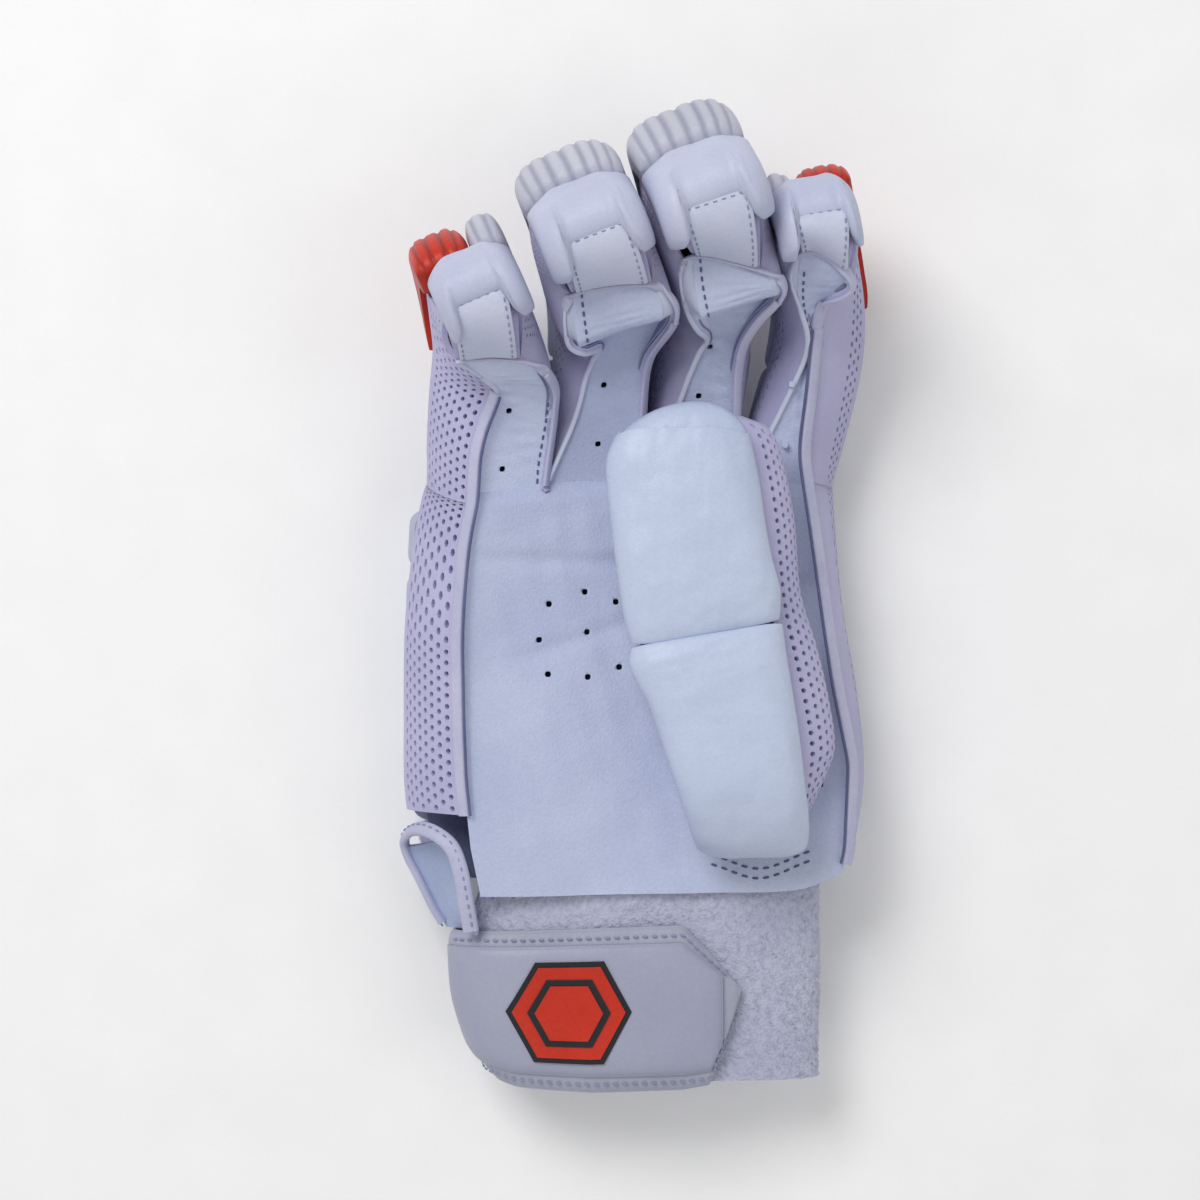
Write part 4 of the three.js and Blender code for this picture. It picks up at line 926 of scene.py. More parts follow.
@dataclass
class Pad:
    """A stuffed roll: flat on its seat, crowned above, with rounded edges and corners."""

    skin: Skin
    u: tuple
    v: tuple
    puff: float
    gap: float = 0.7
    edge: float = 0.3
    power: float = 3.2
    corner: float = 0.06
    nu: int = 30
    nv: int = 36
    seed: int = 1
    pleats: int = 0
    pleat_depth: float = 0.85
    size: tuple = (24.0, 26.0)
    floor: Optional[float] = 0.0
    seam: int = 0

    def grids(self) -> tuple:
        """The pad's upper and lower grids of points, their places on the cloth and their painted shade."""
        i, j = np.meshgrid(np.arange(self.nu + 1) / self.nu, np.arange(self.nv + 1) / self.nv, indexing="ij")
        a, b = 0.5 - 0.5 * np.cos(math.pi * i), 0.5 - 0.5 * np.cos(math.pi * j)
        off_a, off_b = np.abs(2 * a - 1), np.abs(2 * b - 1)
        crown_a = np.sqrt(np.maximum(0, 1 - off_a ** self.power))
        if self.seam:
            crown_a = np.where((2 * a - 1) * self.seam > 0, mix(crown_a, 1.0, 0.55), crown_a)
        crown = crown_a * np.sqrt(np.maximum(0, 1 - off_b ** self.power))
        inset = self.corner * off_a ** 7
        u = mix(self.u[0], self.u[1], mix(a, 0.5, self.corner * off_b ** 7))
        v = mix(self.v[0], self.v[1], mix(b, 0.5, inset))
        along, across = a * self.size[0], b * self.size[1]
        waves = 0.3 * Ripple(self.seed, 14)(along, across) + 0.12 * Ripple(self.seed + 50, 5)(along, across)
        rise = self.gap + self.puff * (self.edge + (1 - self.edge) * crown) + waves * (0.3 + 0.7 * crown)
        # Painted shade: darker where the pad falls towards its seams, and in the valleys of its pleats.
        painted_shade = 0.35 * (1 - crown) ** 4
        if self.pleats:
            wander = b + 0.03 * np.sin(2 * math.pi * b) + 0.016 * Ripple(self.seed + 9, 30)(across, along)
            place = wander * self.pleats
            valley = bell((place - np.round(place)) / self.pleats * self.size[1], 0.75)
            inside = share(0.5 - np.abs(b - 0.5), 0.0, 0.06) * (0.55 + 0.45 * crown)
            rise = rise - self.pleat_depth * valley * inside + 0.12 * np.cos(2 * math.pi * place) * inside
            painted_shade = np.maximum(painted_shade, 0.75 * valley * inside)
        top = self.skin.lift(u, v, rise)
        low = self.skin.lift(u, v, self.gap)
        if self.floor is not None:
            top[..., 2] = np.maximum(top[..., 2], self.floor)
            low[..., 2] = np.maximum(low[..., 2], self.floor)
        return top, low, np.stack([along, across, painted_shade], -1)

    def add(self, mesh: Mesh, slot: int = 0) -> None:
        """Adds the pad to a mesh."""
        top, low, lie = self.grids()
        mesh.between(top, low, lie, slot)


@dataclass
class Finger:
    """One finger: its strip, walls, seams, cap and padded rolls."""

    shape: FingerShape
    leather: float = 1.4
    wall: float = 1.5
    foot: float = 3.0
    rolls: tuple = (("knuckle_roll", .06, .307, 1.0), ("lower_roll", .308, .532, .97),
                    ("pleated_roll", .533, .852, 1.0), ("tip_roll", .853, 1.0, .8))
    sleeve: Sleeve = field(init=False)

    def __post_init__(self) -> None:
        """Prepares the axis and the seam lines."""
        self.sleeve = Sleeve(self.shape)
        self.left = Line(self.shape.left)
        self.right = Line(self.shape.right)
        self.over = Line(self.shape.over)
        self.rows = Table("at lx ly lz rx ry rz", self.shape.rows)
        self.middle = self.sleeve.frame(np.array(0.5))[0]

    def strip_surface(self, u: Array, v: Array) -> Array:
        """The leather strip on the palm side, a little hollow between its seams."""
        u, v = np.broadcast_arrays(np.asarray(u, float), np.asarray(v, float))
        left, right = self.rows.points("lx ly lz", u), self.rows.points("rx ry rz", u)
        point = mix(left, right, v[..., None])
        near = [np.full_like(u, at) for at in (0.0, 0.1)]
        root, next_up = (mix(self.rows.points("lx ly lz", at), self.rows.points("rx ry rz", at), v[..., None])
                         for at in near)
        point = point + (next_up - root) * (np.minimum(u, 0.0) / 0.1)[..., None]
        seam = self.over(1 - v) - np.array([0, 0.4, 0.6])
        point = mix(point, seam, (share(u, 0.86, 1.0) ** 2)[..., None])
        palmar = self.sleeve.frame(np.clip(u, 0, 1))[3]
        sag = -0.9 * arch(v) * (1 - 0.7 * share(u, 0.6, 0.75))
        return point + palmar * sag[..., None]

    def wall_surface(self, side: int) -> Surface:
        """The wall on one side, from its foot by the padding to its seam."""
        line = self.left if side < 0 else self.right

        def surface(u: Array, v: Array) -> Array:
            """A point of the wall."""
            left, right, drop = self.sleeve.section(np.clip(u, 0, 1))
            low = self.sleeve.place(np.clip(u, 0, 1), left if side < 0 else right, -drop + self.foot - 2.0)
            high = line(np.clip(u, 0, 1))
            across = self.sleeve.frame(np.clip(u, 0, 1))[2]
            bulge = 2.4 if side < 0 else 1.4
            return mix(low, high, np.asarray(v)[..., None]) + across * (side * bulge * arch(v))[..., None]

        return surface

    def tab_surface(self, u: Array, v: Array) -> Array:
        """The cap over the fingertip, from its seam at the strip to the tip roll."""
        left, right, drop = self.sleeve.section(np.ones_like(u))
        seam = self.over(1 - v)
        back = self.sleeve.place(np.ones_like(u), mix(left - 0.5, right + 0.5, v), -drop + 0.3)
        along = self.sleeve.frame(np.ones_like(u))[1]
        dome = 3.0 * arch(u) * (0.35 + 0.65 * arch(v))
        return mix(seam, back, np.asarray(u)[..., None]) + along * dome[..., None]

    def build_strip(self) -> bpy.types.Object:
        """The leather strip, with soft wrinkles at the bend, and painted shade."""
        skin = Skin(self.strip_surface, self.middle)
        long, wide = self.sleeve.length, 22.0
        pattern = Pattern.grid(110, 26)
        a, b = pattern.points.T
        wrinkle_shade = Ripple(round(self.shape.place * 1000), 7)(a * long * 1.6, b * wide * 0.6)

        def place(a: Array, b: Array, h: Array) -> Array:
            """A point of the strip."""
            wave = 0.2 * Ripple(31, 8)(a * long * 1.5, b * wide * 0.7) * share(a, 0.1, 0.25)
            under = -0.6 * (1 - ease(share(a, 0.03, 0.2)))
            return skin.lift(mix(-0.1, 1.0, a), mix(0.02, 0.98, b), h + wave * arch(b) + under)

        along = mix(-0.1, 1.0, a)
        # Painted shade: darker from the root up to the bend, none on the fold near the tip, and darker in wrinkle
        # lines.
        shade = (0.3 + 0.22 * share(along, 0, 0.35)) * (1 - ease(share(along, 0.6, 0.68)))
        mesh = Mesh()
        mesh.shell(pattern, place, self.leather, (long, wide), shade + 0.12 * np.clip(wrinkle_shade, 0, 1))
        return mesh

    def patch_surface(self, u: Array, v: Array) -> Array:
        """The leather patch on the cap, from its seam up over the end of the tip roll."""
        u, v = np.broadcast_arrays(np.asarray(u, float), np.asarray(v, float))
        left, right, drop = self.sleeve.section(np.ones_like(u))
        seam = self.over(1 - mix(0.05, 0.95, v))
        _, along, _, palmar = self.sleeve.frame(np.ones_like(u))
        back = self.sleeve.place(np.ones_like(u), mix(left * 0.8, right * 0.8, v), -drop - 3.4) + along * 3.4
        swell = along * (4.2 * arch(u) ** 0.8)[..., None] - palmar * (0.8 * arch(u))[..., None]
        return mix(seam, back, u[..., None]) + swell

    def build_tab(self) -> bpy.types.Object:
        """The cap at the fingertip."""
        skin = Skin(self.tab_surface, self.sleeve.frame(np.array(0.9))[0])
        mesh = Mesh()
        base = Pattern.grid(14, 20)
        mesh.shell(base, lambda a, b, h: skin.lift(a, b, h), 1.2, (14, 22), slot=1)
        patch = Skin(self.patch_surface, self.sleeve.frame(np.array(0.9))[0])
        mesh.shell(Pattern.grid(24, 24), lambda a, b, h: patch.lift(a, b, h + 0.9 * (0.4 + 0.6 * arch(b) ** 0.3)),
                   1.1, (16, 20))
        edge = np.linspace(0, 1, 30)
        rim = np.concatenate([patch.lift(mix(.08, .93, edge), np.full(30, .07), 0.85),
                              patch.lift(np.full(30, .93), mix(.07, .93, edge), 0.85),
                              patch.lift(mix(.93, .08, edge), np.full(30, .93), 0.85)])
        mesh.stitches(rim, self.sleeve.frame(np.array(1.0))[1], 2.4, 1.6, 0.22, slot=2)
        return Parts.give(mesh, self.shape.name + "_cap", [TAB, MESH_CLOTH, THREAD], "padding_leather",
                          [self.shape.name + "_tip_tab"])

    def add_welts(self, mesh: Mesh, slot: int) -> None:
        """Adds the turned-in leather between the strip's edges and the walls' seams."""
        for side, line in ((-1, self.left), (1, self.right)):

            def surface(u: Array, v: Array, side: int = side, line: Line = line) -> Array:
                """A point between the strip's edge and the seam."""
                u, v = np.broadcast_arrays(np.asarray(u, float), np.asarray(v, float))
                inner = self.strip_surface(u, np.full_like(u, 0.04 if side < 0 else 0.96))
                return mix(inner, line(np.clip(u, 0, 1)), v[..., None])

            skin = Skin(surface, self.middle)
            mesh.shell(Pattern.grid(90, 5), lambda a, b, h, skin=skin: skin.surface(a, b) + np.array([0, 0, -0.3])
                       + np.array([0, 0, 1.0]) * h[..., None], 0.8, (self.sleeve.length, 4), slot=slot)

    def binding_path(self) -> tuple:
        """The path of the binding: up the right seam, over the tip and a little down the left one."""
        right = self.right(np.linspace(0.02, 1, 60))
        over = self.over(np.linspace(0.02, 0.98, 30))
        left = self.left(np.linspace(0.99, self.shape.hem, 24)) if self.shape.hem < 0.99 else over[-1:]
        path = evenly(np.concatenate([right, over, left]), 0.9)
        smooth = path.copy()
        for _ in range(3):
            smooth[1:-1] = (smooth[:-2] + 2 * smooth[1:-1] + smooth[2:]) / 4
        up = unit(smooth - self.middle_near(smooth))
        return smooth + up * 0.5, up

    def middle_near(self, path: Array) -> Array:
        """For each point, the nearest point on the finger's axis."""
        axis = self.sleeve.frame(np.linspace(0, 1, 80))[0]
        near = np.linalg.norm(path[:, None] - axis[None], axis=-1).argmin(1)
        return axis[near]

    def build_binding(self) -> None:
        """The binding and the fine seam on the left."""
        mesh = Mesh()
        path, up = self.binding_path()
        mesh.band(path, up, 3.0, 1.3)
        seam = evenly(self.left(np.linspace(0.0, self.shape.hem, 80)), 0.9)
        upward = unit(seam - self.middle_near(seam))
        mesh.band(seam + upward * 0.15, upward, 1.5, 1.0, slot=1)
        self.add_welts(mesh, 1)
        Parts.give(mesh, self.shape.name + "_binding", [BINDING, TAB], "piping", [self.shape.name + "_piping"])

    def tip_seat(self, t: Array, v: Array) -> Array:
        """The last roll's seat: along the back, round the fingertip and down beside the cap.

        Args:
            t: the share of the way from the roll's start to its end.
            v: the share of the way from its left side to its right.

        Returns:
            The seat's points.
        """
        t, v = np.broadcast_arrays(np.asarray(t, float), np.asarray(v, float))
        length, radius, start = self.sleeve.length, 3.0, self.rolls[3][1]
        turn_at = 1.0 - radius / length
        beside = ease(share(np.abs(2 * v - 1), 0.44, 0.74))
        end = turn_at * length + radius * math.pi / 2 + mix(-1.2, 5.4, beside)
        way = mix(start * length, end, t)
        base = self.sleeve.back(np.minimum(way / length, turn_at), v, 1.4, 0.9)
        past = np.maximum(way - turn_at * length, 0.0)
        bend = np.clip(past / radius, 0, math.pi / 2)
        rest = np.maximum(past - radius * math.pi / 2, 0.0)
        _, along, _, palmar = self.sleeve.frame(np.full_like(t, turn_at))
        return (base + along * (radius * np.sin(bend))[..., None]
                + palmar * (radius * (1 - np.cos(bend)) + rest)[..., None])

    def build_rolls(self) -> None:
        """The padded rolls on the finger's back."""
        over = Skin(lambda u, v: self.sleeve.back(u, v, 1.3, 0.9), self.middle)
        tip = Skin(self.tip_seat, self.sleeve.frame(np.array(0.9))[0])
        for number, (name, start, end, puff) in enumerate(self.rolls):
            pleated = name == "pleated_roll"
            mesh = Mesh()
            base = dict(u=(start, end), puff=FINGER_PADDING * puff, seed=3 + number, floor=0.0,
                        size=((end - start) * self.sleeve.length, 30.0))
            if name == "tip_roll":
                base.update(u=(0.0, 1.0), edge=0.25, nu=44, nv=44, corner=0.04, floor=None, size=(22.0, 30.0))
            if pleated:
                base.update(pleats=8, nu=36, nv=110)
            if pleated and self.shape.outer:
                red = (0.0, 0.62) if self.shape.outer < 0 else (0.38, 1.0)
                white = (0.63, 1.0) if self.shape.outer < 0 else (0.0, 0.37)
                base.update(pleats=5, nv=70, size=(base["size"][0], 19.0))
                Pad(over, v=red, edge=0.45, **base).add(mesh, 0)
                base.update(pleats=3, nv=44, size=(base["size"][0], 11.0), seed=41)
                Pad(over, v=white, edge=0.4, **base).add(mesh, 1)
                finishes, slot = [RED, PLEATED], "red_leather"
            else:
                tucked = {-1: (0.07, 1.0), 0: (0.0, 1.0), 1: (0.0, 0.93)}[self.shape.outer]
                Pad(tip if name == "tip_roll" else over, v=tucked, **base).add(mesh, 0)
                finishes, slot = [PLEATED if pleated else PAD], "padding_leather"
            Parts.give(mesh, self.shape.name + "_" + name + "_stuffed", finishes, slot,
                       [self.shape.name + "_" + name], fill=0.75)


@dataclass
class Fingers:
    """The four fingers with the walls between them."""

    pitch: float = 3.3
    hole: tuple = (0.24, 0.27)
    fingers: list = field(default_factory=lambda: [Finger(shape) for shape in FINGERS])

    def wall_mesh(self, mesh: Mesh, lining: Mesh, finger: Finger, side: int, punched_to: float) -> tuple:
        """Adds one finger's wall, punched in its lower part, with the lining behind it, whose dark colour is painted
        shade seen through the holes.

        Args:
            mesh: the mesh to add the wall to.
            lining: the mesh to add its lining to.
            finger: the finger.
            side: -1 for its left wall, 1 for its right one.
            punched_to: the share of its height that is punched.

        Returns:
            The wall's flat width, length and area.
        """
        surface = finger.wall_surface(side)
        skin = Skin(surface, finger.middle)
        width, length, area = Parts.cut_of(surface)
        cols, rows = round(length / self.pitch), max(4, round(width / 2.9))
        pattern = Pattern.punched(cols, rows, self.hole, lambda a, b: b > punched_to or b < 0.1 or a > 0.97)
        mesh.shell(pattern, lambda a, b, h: skin.lift(a, b, h), finger.wall, (length, width))
        # The lining behind the wall is dark: painted shade seen through the holes.
        backing = Pattern.grid(60, 8)
        lining.shell(backing, lambda a, b, h: skin.lift(a, b, h - finger.wall - 0.25), 0.5, (length, width))
        return width, length, area

    def crotch(self, mesh: Mesh, low: Finger, high: Finger) -> None:
        """The short piece of wall that joins two fingers at their root."""
        right, left = low.wall_surface(1), high.wall_surface(-1)

        def surface(u: Array, v: Array) -> Array:
            """A point of the crotch."""
            zero = np.zeros_like(u)
            point = mix(right(zero, v), left(zero, v), np.asarray(u)[..., None])
            return point - np.array([0, 2.0, 0]) * arch(u)[..., None]

        skin = Skin(surface, np.array([0, -20, 30.0]))
        mesh.shell(Pattern.grid(10, 10), lambda a, b, h: skin.lift(a, b, h), 1.5, (6, 18))

    def build(self) -> None:
        """All finger pieces."""
        for low, high in zip(self.fingers, self.fingers[1:]):
            mesh, lining = Mesh(), Mesh()
            cut = Parts.whole(self.wall_mesh(mesh, lining, low, 1, 0.75), self.wall_mesh(mesh, lining, high, -1, 0.55))
            self.crotch(mesh, low, high)
            name = f"{low.shape.name}_{high.shape.name}"
            Parts.give(mesh, name + "_walls", [MESH_CLOTH], "mesh_fabric", [name + "_fourchette"], cut=cut)
            Parts.give(lining, name + "_walls_lining", [LINING_AND_HOLE_SHADE], "lining", cut=cut)
        for finger in self.fingers:
            finger.build_tab()
            finger.build_binding()
            finger.build_rolls()


@dataclass
class Hand:
    """The palm, the back and the long outer sides."""

    fingers: Fingers
    leather: float = 1.4
    vent: float = 0.8
    vents: tuple = ((-34.4, 51), (-36.3, 35.6), (-8.9, 58.3), (-10.5, 42.6), (19.6, 68.4), (16.8, 55.6),
                    (41.8, 58.9), (40.4, 42.6), (-23.8, -.8), (-14.1, 2.5), (-5.7, -.2), (-26.5, -10.5),
                    (-13.5, -8.4), (-24.1, -19.8), (-13.3, -20.6), (-4.8, -17.9))
    left_seam: tuple = ((-42.5, -79.2), (-45, -67.1), (-47, -48.2), (-47.6, -32.1), (-48, -4.8), (-47.9, 4.9),
                        (-46.9, 12.7), (-45.2, 19.4), (-43.2, 31.3))
    right_seam: tuple = ((56, -71.9), (57.1, -67.6), (58.2, -44), (53.9, -22.3), (51.3, -4.9), (49.2, 11.4),
                         (46.5, 27.2), (45.6, 34.0))

    def palm_surface(self, u: Array, v: Array) -> Array:
        """The palm leather between its seams, sagging a little."""
        point = hand_palm(u, v)
        y = point[..., 1]
        left = np.interp(y, [p[1] for p in self.left_seam], [p[0] for p in self.left_seam])
        right = np.interp(y, [p[1] for p in self.right_seam], [p[0] for p in self.right_seam])
        point[..., 0] = mix(left, right, v)
        return point

    def build_palm(self) -> None:
        """The palm leather with the strips of three fingers, and the little finger's own strip."""
        skin = Skin(self.palm_surface, HAND_MIDDLE)
        pattern = Pattern.grid(110, 100, lambda a, b: not (0.24 < a < 0.46 and 0.62 < b < 0.93))
        big, small = Ripple(4, 34), Ripple(5, 9)

        def place(a: Array, b: Array, h: Array) -> Array:
            """A point of the palm."""
            x, y = b * 100, a * 111
            wave = 0.7 * big(x, y) + 0.16 * small(x, y)
            folds = -1.0 * bell(y - 92 + 0.1 * x, 2.2) - 0.8 * bell(y - 60 - 0.25 * x, 2.5) * share(b, 0.0, 0.2)
            quiet = arch(np.clip(b, 0.0, 1.0)) ** 0.35
            dip = -1.7 * ease(share(a, 0.95, 1.0))
            return skin.lift(mix(0, 1.005, a), b, h + (wave + folds) * quiet * (1 - share(a, 0.9, 1.0)) + dip)

        mesh = Mesh()
        # Painted shade: darker towards the knuckles.
        shade = 0.3 * ease(share(pattern.points[:, 0], 0.72, 1.0))
        mesh.shell(pattern, place, self.leather, (111, 100), shade)
        hides = [("palm_hide", mesh, PALM, "palm_leather")]
        for finger in self.fingers.fingers:
            own = finger.shape.name == "little"
            # The little finger's strip takes the lighter copy of the palm leather: painted light.
            hides.append((finger.shape.name + "_hide", finger.build_strip(), LITTLE_PALM_PAINTED_LIGHT if own else PALM,
                          "little_strip" if own else "palm_leather"))
        self.cloud = np.concatenate([points for _, hide, _, _ in hides for points in hide.points])
        tool = self.vent_cutter()
        for name, hide, finish, node in hides:
            self.carve(Parts.give(hide, name, [finish], "palm_leather", [node]), tool)
        bpy.data.objects.remove(tool)
        self.build_stitches()

    def settle(self, x: float, y: float) -> tuple:
        """The leather's top near a place, and the way that it faces there."""
        near = self.cloud[np.hypot(self.cloud[:, 0] - x, self.cloud[:, 1] - y) < 2.2]
        near = near[near[:, 2] > near[:, 2].max() - 1.2]
        plane = np.column_stack([near[:, 0] - x, near[:, 1] - y, np.ones(len(near))])
        slope = np.linalg.lstsq(plane, near[:, 2], rcond=None)[0]
        return np.array([x, y, slope[2]]), unit(np.array([-slope[0], -slope[1], 1.0]))

    def vent_cutter(self) -> bpy.types.Object:
        """Short round pins through the leather at the vents."""
        cutter = Mesh()
        for x, y in self.vents:
            middle, up = self.settle(x, y)
            cutter.band(np.array([middle - up * 2.4, middle, middle + up * 2]), np.array([1.0, 0, 0]),
                        2 * self.vent, 2 * self.vent, sides=14)
        return cutter.build("vent_cutter", [])

    @staticmethod
    def carve(piece: bpy.types.Object, tool: bpy.types.Object) -> None:
        """Cuts the vents through one hide."""
        change = piece.modifiers.new("vents", "BOOLEAN")
        change.operation, change.solver, change.object = "DIFFERENCE", "EXACT", tool
        ready = piece.evaluated_get(bpy.context.evaluated_depsgraph_get())
        data = bpy.data.meshes.new_from_object(ready)
        piece.modifiers.clear()
        piece.data = data

    def build_stitches(self) -> None:
        """The stitching on the palm: two rows round the thumb's base, and rows along three strips."""
        mesh = Mesh()
        for drop in (0.0, -2.6):
            bow = Line(((20.9, -68.9 + drop, 0), (33.2, -72.5 + drop, 0), (46.0, -68.1 + drop, 0))).even(1.0)
            path = np.array([self.settle(x, y)[0] for x, y, _ in bow]) + np.array([0, 0, 0.15])
            mesh.stitches(path, np.array([0, 0, 1.0]), 3.0, 2.1, 0.33)
        for index, place, start, end in ((0, 0.9, 0.08, 0.5), (1, 0.13, 0.73, 0.97), (2, 0.12, 0.73, 0.97),
                                         (3, 0.14, 0.5, 0.9)):
            finger = self.fingers.fingers[index]
            skin = Skin(finger.strip_surface, finger.middle)
            run = np.linspace(start, end, 60)
            path = skin.lift(run, np.full(60, place), 0.1)
            mesh.stitches(path, skin.normal(run, np.full(60, place)), 2.5, 1.8, 0.3)
        Parts.give(mesh, "palm_stitches", [DARK_THREAD], "piping")

    def side_surface(self, side: int) -> Surface:
        """A long outer side, from the wrist along the hand to the root of the outer finger."""
        seam = self.left_seam if side < 0 else self.right_seam
        finger = self.fingers.fingers[0 if side < 0 else 3]
        ordered = sorted(seam, key=lambda p: p[1])
        wall = finger.wall_surface(side)
        end = "Left" if side < 0 else "Right"

        def surface(u: Array, v: Array) -> Array:
            """A point of the side."""
            u, v = np.broadcast_arrays(np.asarray(u, float), np.asarray(v, float))
            edge = np.full_like(u, 0.0 if side < 0 else 1.0)
            root = wall(np.zeros_like(u), v)
            y = hand_y(u, edge) + (root[..., 1] - hand_y(np.ones_like(u), edge)) * ease(share(u, 0.3, 1.0))
            high_x = np.interp(y, [p[1] for p in ordered], [p[0] for p in ordered])
            low = np.stack([HAND.get("back" + end, u) * BACK_WIDTH, y, HAND.get("back" + end + "Z", u) * HAND_HEIGHT], -1)
            high = np.stack([high_x, y, HAND.get("palm" + end + "Z", u) * HAND_HEIGHT], -1)
            point = mix(low, high, v[..., None])
            bulge = (2.6 if side < 0 else 1.6) * arch(v)
            point[..., 0] += side * bulge
            return mix(point, root, ease(share(u, 0.62, 1.0))[..., None])

        return surface

    def build_sides(self) -> None:
        """The punched mesh on both long sides."""
        for side, name, start, node in ((-1, "little_side", 0.2, "little_side_mesh"), (1, "index_side", 0.02, "index_side")):
            mesh, lining = Mesh(), Mesh()
            surface = self.side_surface(side)
            skin = Skin(surface, HAND_MIDDLE)
            finger = self.fingers.fingers[0 if side < 0 else 3]
            width, length, area = Parts.cut_of(lambda u, v: surface(mix(start, 1.0, u), v))
            pattern = Pattern.punched(round(length / 3.3), round(width / 2.9), (0.26, 0.28),
                                      lambda a, b: b > (0.9 if side < 0 else 0.35) or b < 0.06)
            mesh.shell(pattern, lambda a, b, h: skin.lift(mix(start, 1.0, a), b, h), 1.5, (length, width))
            # The lining behind the side is dark: painted shade seen through the holes.
            lining.shell(Pattern.grid(50, 10), lambda a, b, h: skin.lift(mix(start, 1.0, a), b, h - 1.75), 0.5,
                         (length, width))
            wall = self.fingers.wall_mesh(mesh, lining, finger, side, 0.85 if side < 0 else 0.4)
            cut = Parts.whole((width, length, area), wall)
            Parts.give(mesh, name + "_cloth", [MESH_CLOTH], "mesh_fabric", [node], cut=cut)
            Parts.give(lining, name + "_cloth_lining", [LINING_AND_HOLE_SHADE], "lining", cut=cut)
            tape = Mesh()
            run = np.linspace(start, 0.99, 120)
            seam = finger.left if side < 0 else finger.right
            onward = seam(np.linspace(0.03, 0.46, 50)) + np.array([side * 0.6, 0, 0.5])
            edge = evenly(np.concatenate([skin.lift(run, np.full(120, 0.985), 0.7), onward]), 1.0)
            for _ in range(6):
                edge[1:-1] = (edge[:-2] + 2 * edge[1:-1] + edge[2:]) / 4
            up = np.array([side * 0.6, 0, 0.8])
            tape.band(edge, unit(up), 3.4, 1.2)
            inner = edge - unit(np.cross(np.gradient(edge, axis=0), up)) * side * 2.3 + np.array([0, 0, 0.2])
            tape.band(inner, np.array([0, 0, 1.0]), 0.7, 0.6, slot=1)
            Parts.give(tape, name + "_tape", [BINDING, DARK_THREAD], "piping")

    def build_back(self) -> None:
        """The lining of the back and the three padded rolls across it."""
        mesh = Mesh()
        skin = Skin(hand_back, HAND_MIDDLE)
        mesh.shell(Pattern.grid(30, 40), lambda a, b, h: skin.lift(mix(.03, 1, a), mix(.04, .96, b), h), 1.6, (107, 110))
        for finger in self.fingers.fingers:
            under = Skin(finger.sleeve.back, finger.middle)
            mesh.shell(Pattern.grid(60, 10), lambda a, b, h: under.lift(mix(-.05, 1, a), mix(.06, .94, b), h), 1.6,
                       (100, 22))
        hand, *stalls = [Parts.cut_of(surface) for surface in (hand_back, *(f.sleeve.back for f in self.fingers.fingers))]
        cut = (hand[0], hand[1] + max(stall[1] for stall in stalls), hand[2] + sum(stall[2] for stall in stalls))
        Parts.give(mesh, "back_lining", [LINING_AND_HOLE_SHADE], "lining", ["back_panel"], cut=cut)
        for number, (name, start, end) in enumerate((("wrist", .02, .31), ("middle", .32, .63), ("knuckle", .64, .95))):
            roll = Mesh()
            for half in range(2):
                low, high = start + (end - start) * half / 2, start + (end - start) * (half + 1) / 2
                Pad(skin, u=(low, high), v=(.015, .985), puff=15, seed=20 + number * 2 + half, nv=70, nu=20,
                    size=(17, 120), edge=0.5 if half else 0.5).add(roll)
            Parts.give(roll, f"back_roll_{name}_stuffed", [PAD], "padding_leather", [f"back_roll_{name}"], fill=0.8)

    def build(self) -> None:
        """All pieces of the hand."""
        self.build_palm()
        self.build_sides()
        self.build_back()


